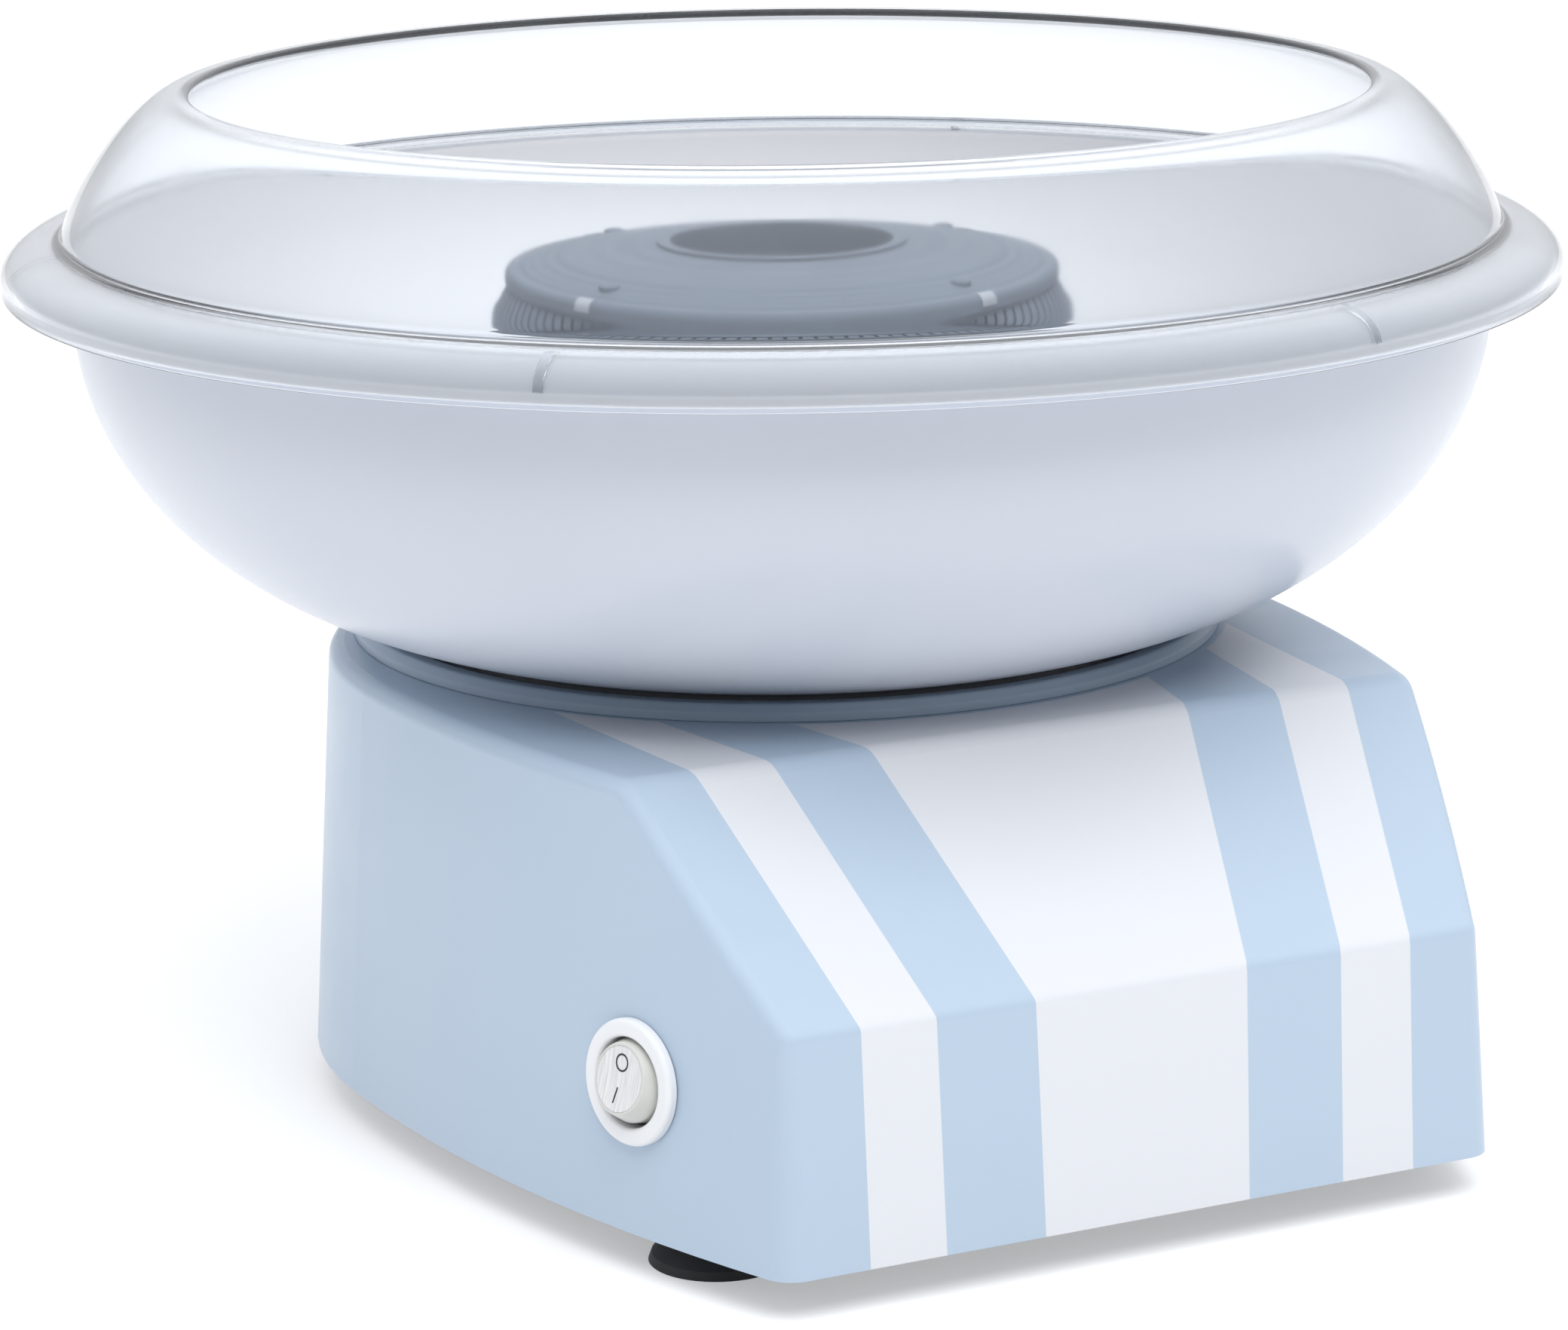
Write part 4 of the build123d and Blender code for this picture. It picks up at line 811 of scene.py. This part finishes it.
def make_pan():
    hub, floor_top = HUB_RADIUS + 0.05, PAN_FLOOR_Z + HEAD_SKIN
    bm = bmesh.new()
    spin_profile(bm, softened([
        (hub, PAN_FLOOR_Z, 0), (51.5, PAN_FLOOR_Z, 2.5), (56.2, 146.0, 6),
        (PAN_RADIUS - 0.9, PAN_RIM_Z - 3.0, 1.5), (PAN_RADIUS, PAN_RIM_Z - 1.0, 0.6),
        (PAN_RADIUS, PAN_RIM_Z, 0.35), (PAN_RADIUS - 1.4, PAN_RIM_Z, 0.35), (55.0, 146.6, 6),
        (50.8, floor_top, 2.5), (hub, floor_top, 0),
    ], count=8), 256)
    pan = finish_mesh("head_pan", bm, head_mat.mat, "head")
    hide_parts("head_lower_pan")


def make_fixings():
    """Low domed screw heads that hug the disc, and the bright tabs folded over its rim."""
    dome = ellipse_arc((0, DOME_LOW), (SCREW_HEAD_RADIUS, DOME_RISE), 0, 90, 10)[:-1] + [(0, DOME_TOP)]
    stem = [(0, SCREW_LOW), (SCREW_RADIUS, SCREW_LOW), (SCREW_RADIUS, SCREW_SEAT),
            (SCREW_HEAD_RADIUS, SCREW_SEAT)]
    bm = bmesh.new()
    for angle in FIXING_ANGLES:
        seat = turn(angle) @ Matrix.Translation((FIXING_RADIUS, 0, 0))
        spin_profile(bm, stem + dome, 40, place=seat)
    screws = finish_mesh("head_screw_domes", bm, head_mat.mat, "head")
    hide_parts("head_screws")

    centre = (HEAD_RADIUS - 1.5, HEAD_EDGE_Z - 1.5)
    outer, inner = (ellipse_arc(centre, (r, r), -5, 100, 14) for r in (TAB_OUTER, TAB_INNER))
    bm = bmesh.new()
    for angle in FIXING_ANGLES:
        arch_prism(bm, outer, inner, TAB_HALF, turn(angle) @ UPRIGHT)
    finish_mesh("head_tabs", bm, tab_mat.mat, "head")


def make_skirt():
    """The fine louvred cone between the disc and the pan."""
    bm = bmesh.new()
    spin_profile(bm, SKIRT_TOP_RING, 192)
    spin_profile(bm, SKIRT_LOW_RING, 192)
    half = math.pi / LOUVRES * LOUVRE_SHARE
    for k in range(LOUVRES):
        middle = 2 * math.pi * k / LOUVRES
        ends = [[bm.verts.new((r * math.cos(a), r * math.sin(a), z)) for r, z in SKIRT_SECTION]
                for a in (middle - half, middle + half)]
        for n in range(4):
            bm.faces.new((ends[0][n - 1], ends[0][n], ends[1][n], ends[1][n - 1]))
        for end in ends:
            bm.faces.new(end)
    # the louvred skirt takes the band's colour, painted shade for the gap between disc and pan
    finish_mesh("head_skirt", bm, shaded_band_mat.mat, "head")


make_disc()
make_pan()
make_fixings()
make_skirt()

# ---------------------------------------------------------------- floor, lights, world
# the floor in millimetres, the lamp in metres
FLOOR_Z, FLOOR_RINGS = -0.02, (0, 400, 2000, 9000)
FLOOR_GLOW = 0.35
# the sky's strength is SKY_LEVEL plus the dot product of SKY_SLOPE and the direction looked in
SKY_COLOUR, SKY_LEVEL, SKY_SLOPE = (0.95, 0.97, 1.0), 0.34, (0.17, 0.35, 1.15)
KEY_PLACE, KEY_AIM, KEY_SIZE, KEY_POWER = (-0.22, -1.05, 1.75), (0, 0, 0.1), (1.6, 1.2), 25


def make_stage():
    """A pale floor, a little self-lit like a light table."""
    bm = bmesh.new()
    spin_profile(bm, [(r, FLOOR_Z) for r in FLOOR_RINGS], 96, closed=False)
    bmesh.ops.scale(bm, vec=(MM, MM, MM), verts=bm.verts)
    bmesh.ops.recalc_face_normals(bm, faces=bm.faces)
    mesh = bpy.data.meshes.new("floor")
    bm.to_mesh(mesh)
    bm.free()
    floor = bpy.data.objects.new("floor", mesh)
    m = Nodes("light_table").set(Roughness=0.75, Specular_IOR_Level=0.2, Emission_Strength=FLOOR_GLOW)
    m.shader.inputs["Emission Color"].default_value = (1, 1, 1, 1)
    m.to("Base Color", m.mix(m.span(m.noise(3, 2), 0, 1), (0.65, 0.65, 0.655), (0.68, 0.68, 0.685)))
    floor.data.materials.append(m.mat)
    bpy.context.scene.collection.objects.link(floor)


def make_world():
    """A pale studio: dimmer behind the camera, brighter behind the object and overhead."""
    world = bpy.data.worlds.new("studio")
    world.use_nodes = True
    tree = world.node_tree
    sky = tree.nodes["Background"]
    sky.inputs["Color"].default_value = (*SKY_COLOUR, 1)
    look = tree.nodes.new("ShaderNodeTexCoord").outputs["Generated"]
    fall = tree.nodes.new("ShaderNodeVectorMath")
    fall.operation = "DOT_PRODUCT"
    fall.inputs[1].default_value = SKY_SLOPE
    tree.links.new(look, fall.inputs[0])
    level = tree.nodes.new("ShaderNodeMath")
    level.operation = "ADD"
    level.inputs[1].default_value = SKY_LEVEL
    tree.links.new(fall.outputs["Value"], level.inputs[0])
    tree.links.new(level.outputs[0], sky.inputs["Strength"])
    bpy.context.scene.world = world


def make_key():
    """One soft lamp above the front, which neither gloss nor clear plastic shows."""
    data = bpy.data.lights.new("key", "AREA")
    data.shape, data.size, data.size_y = "RECTANGLE", *KEY_SIZE
    data.energy = KEY_POWER
    lamp = bpy.data.objects.new("key", data)
    lamp.location = KEY_PLACE
    lamp.rotation_mode = "QUATERNION"
    lamp.rotation_quaternion = (Vector(KEY_AIM) - Vector(KEY_PLACE)).to_track_quat("-Z", "Y")
    lamp.visible_glossy = lamp.visible_transmission = False
    bpy.context.scene.collection.objects.link(lamp)


make_camera()
make_stage()
make_world()
make_key()
bpy.context.scene.view_settings.view_transform = "Standard"
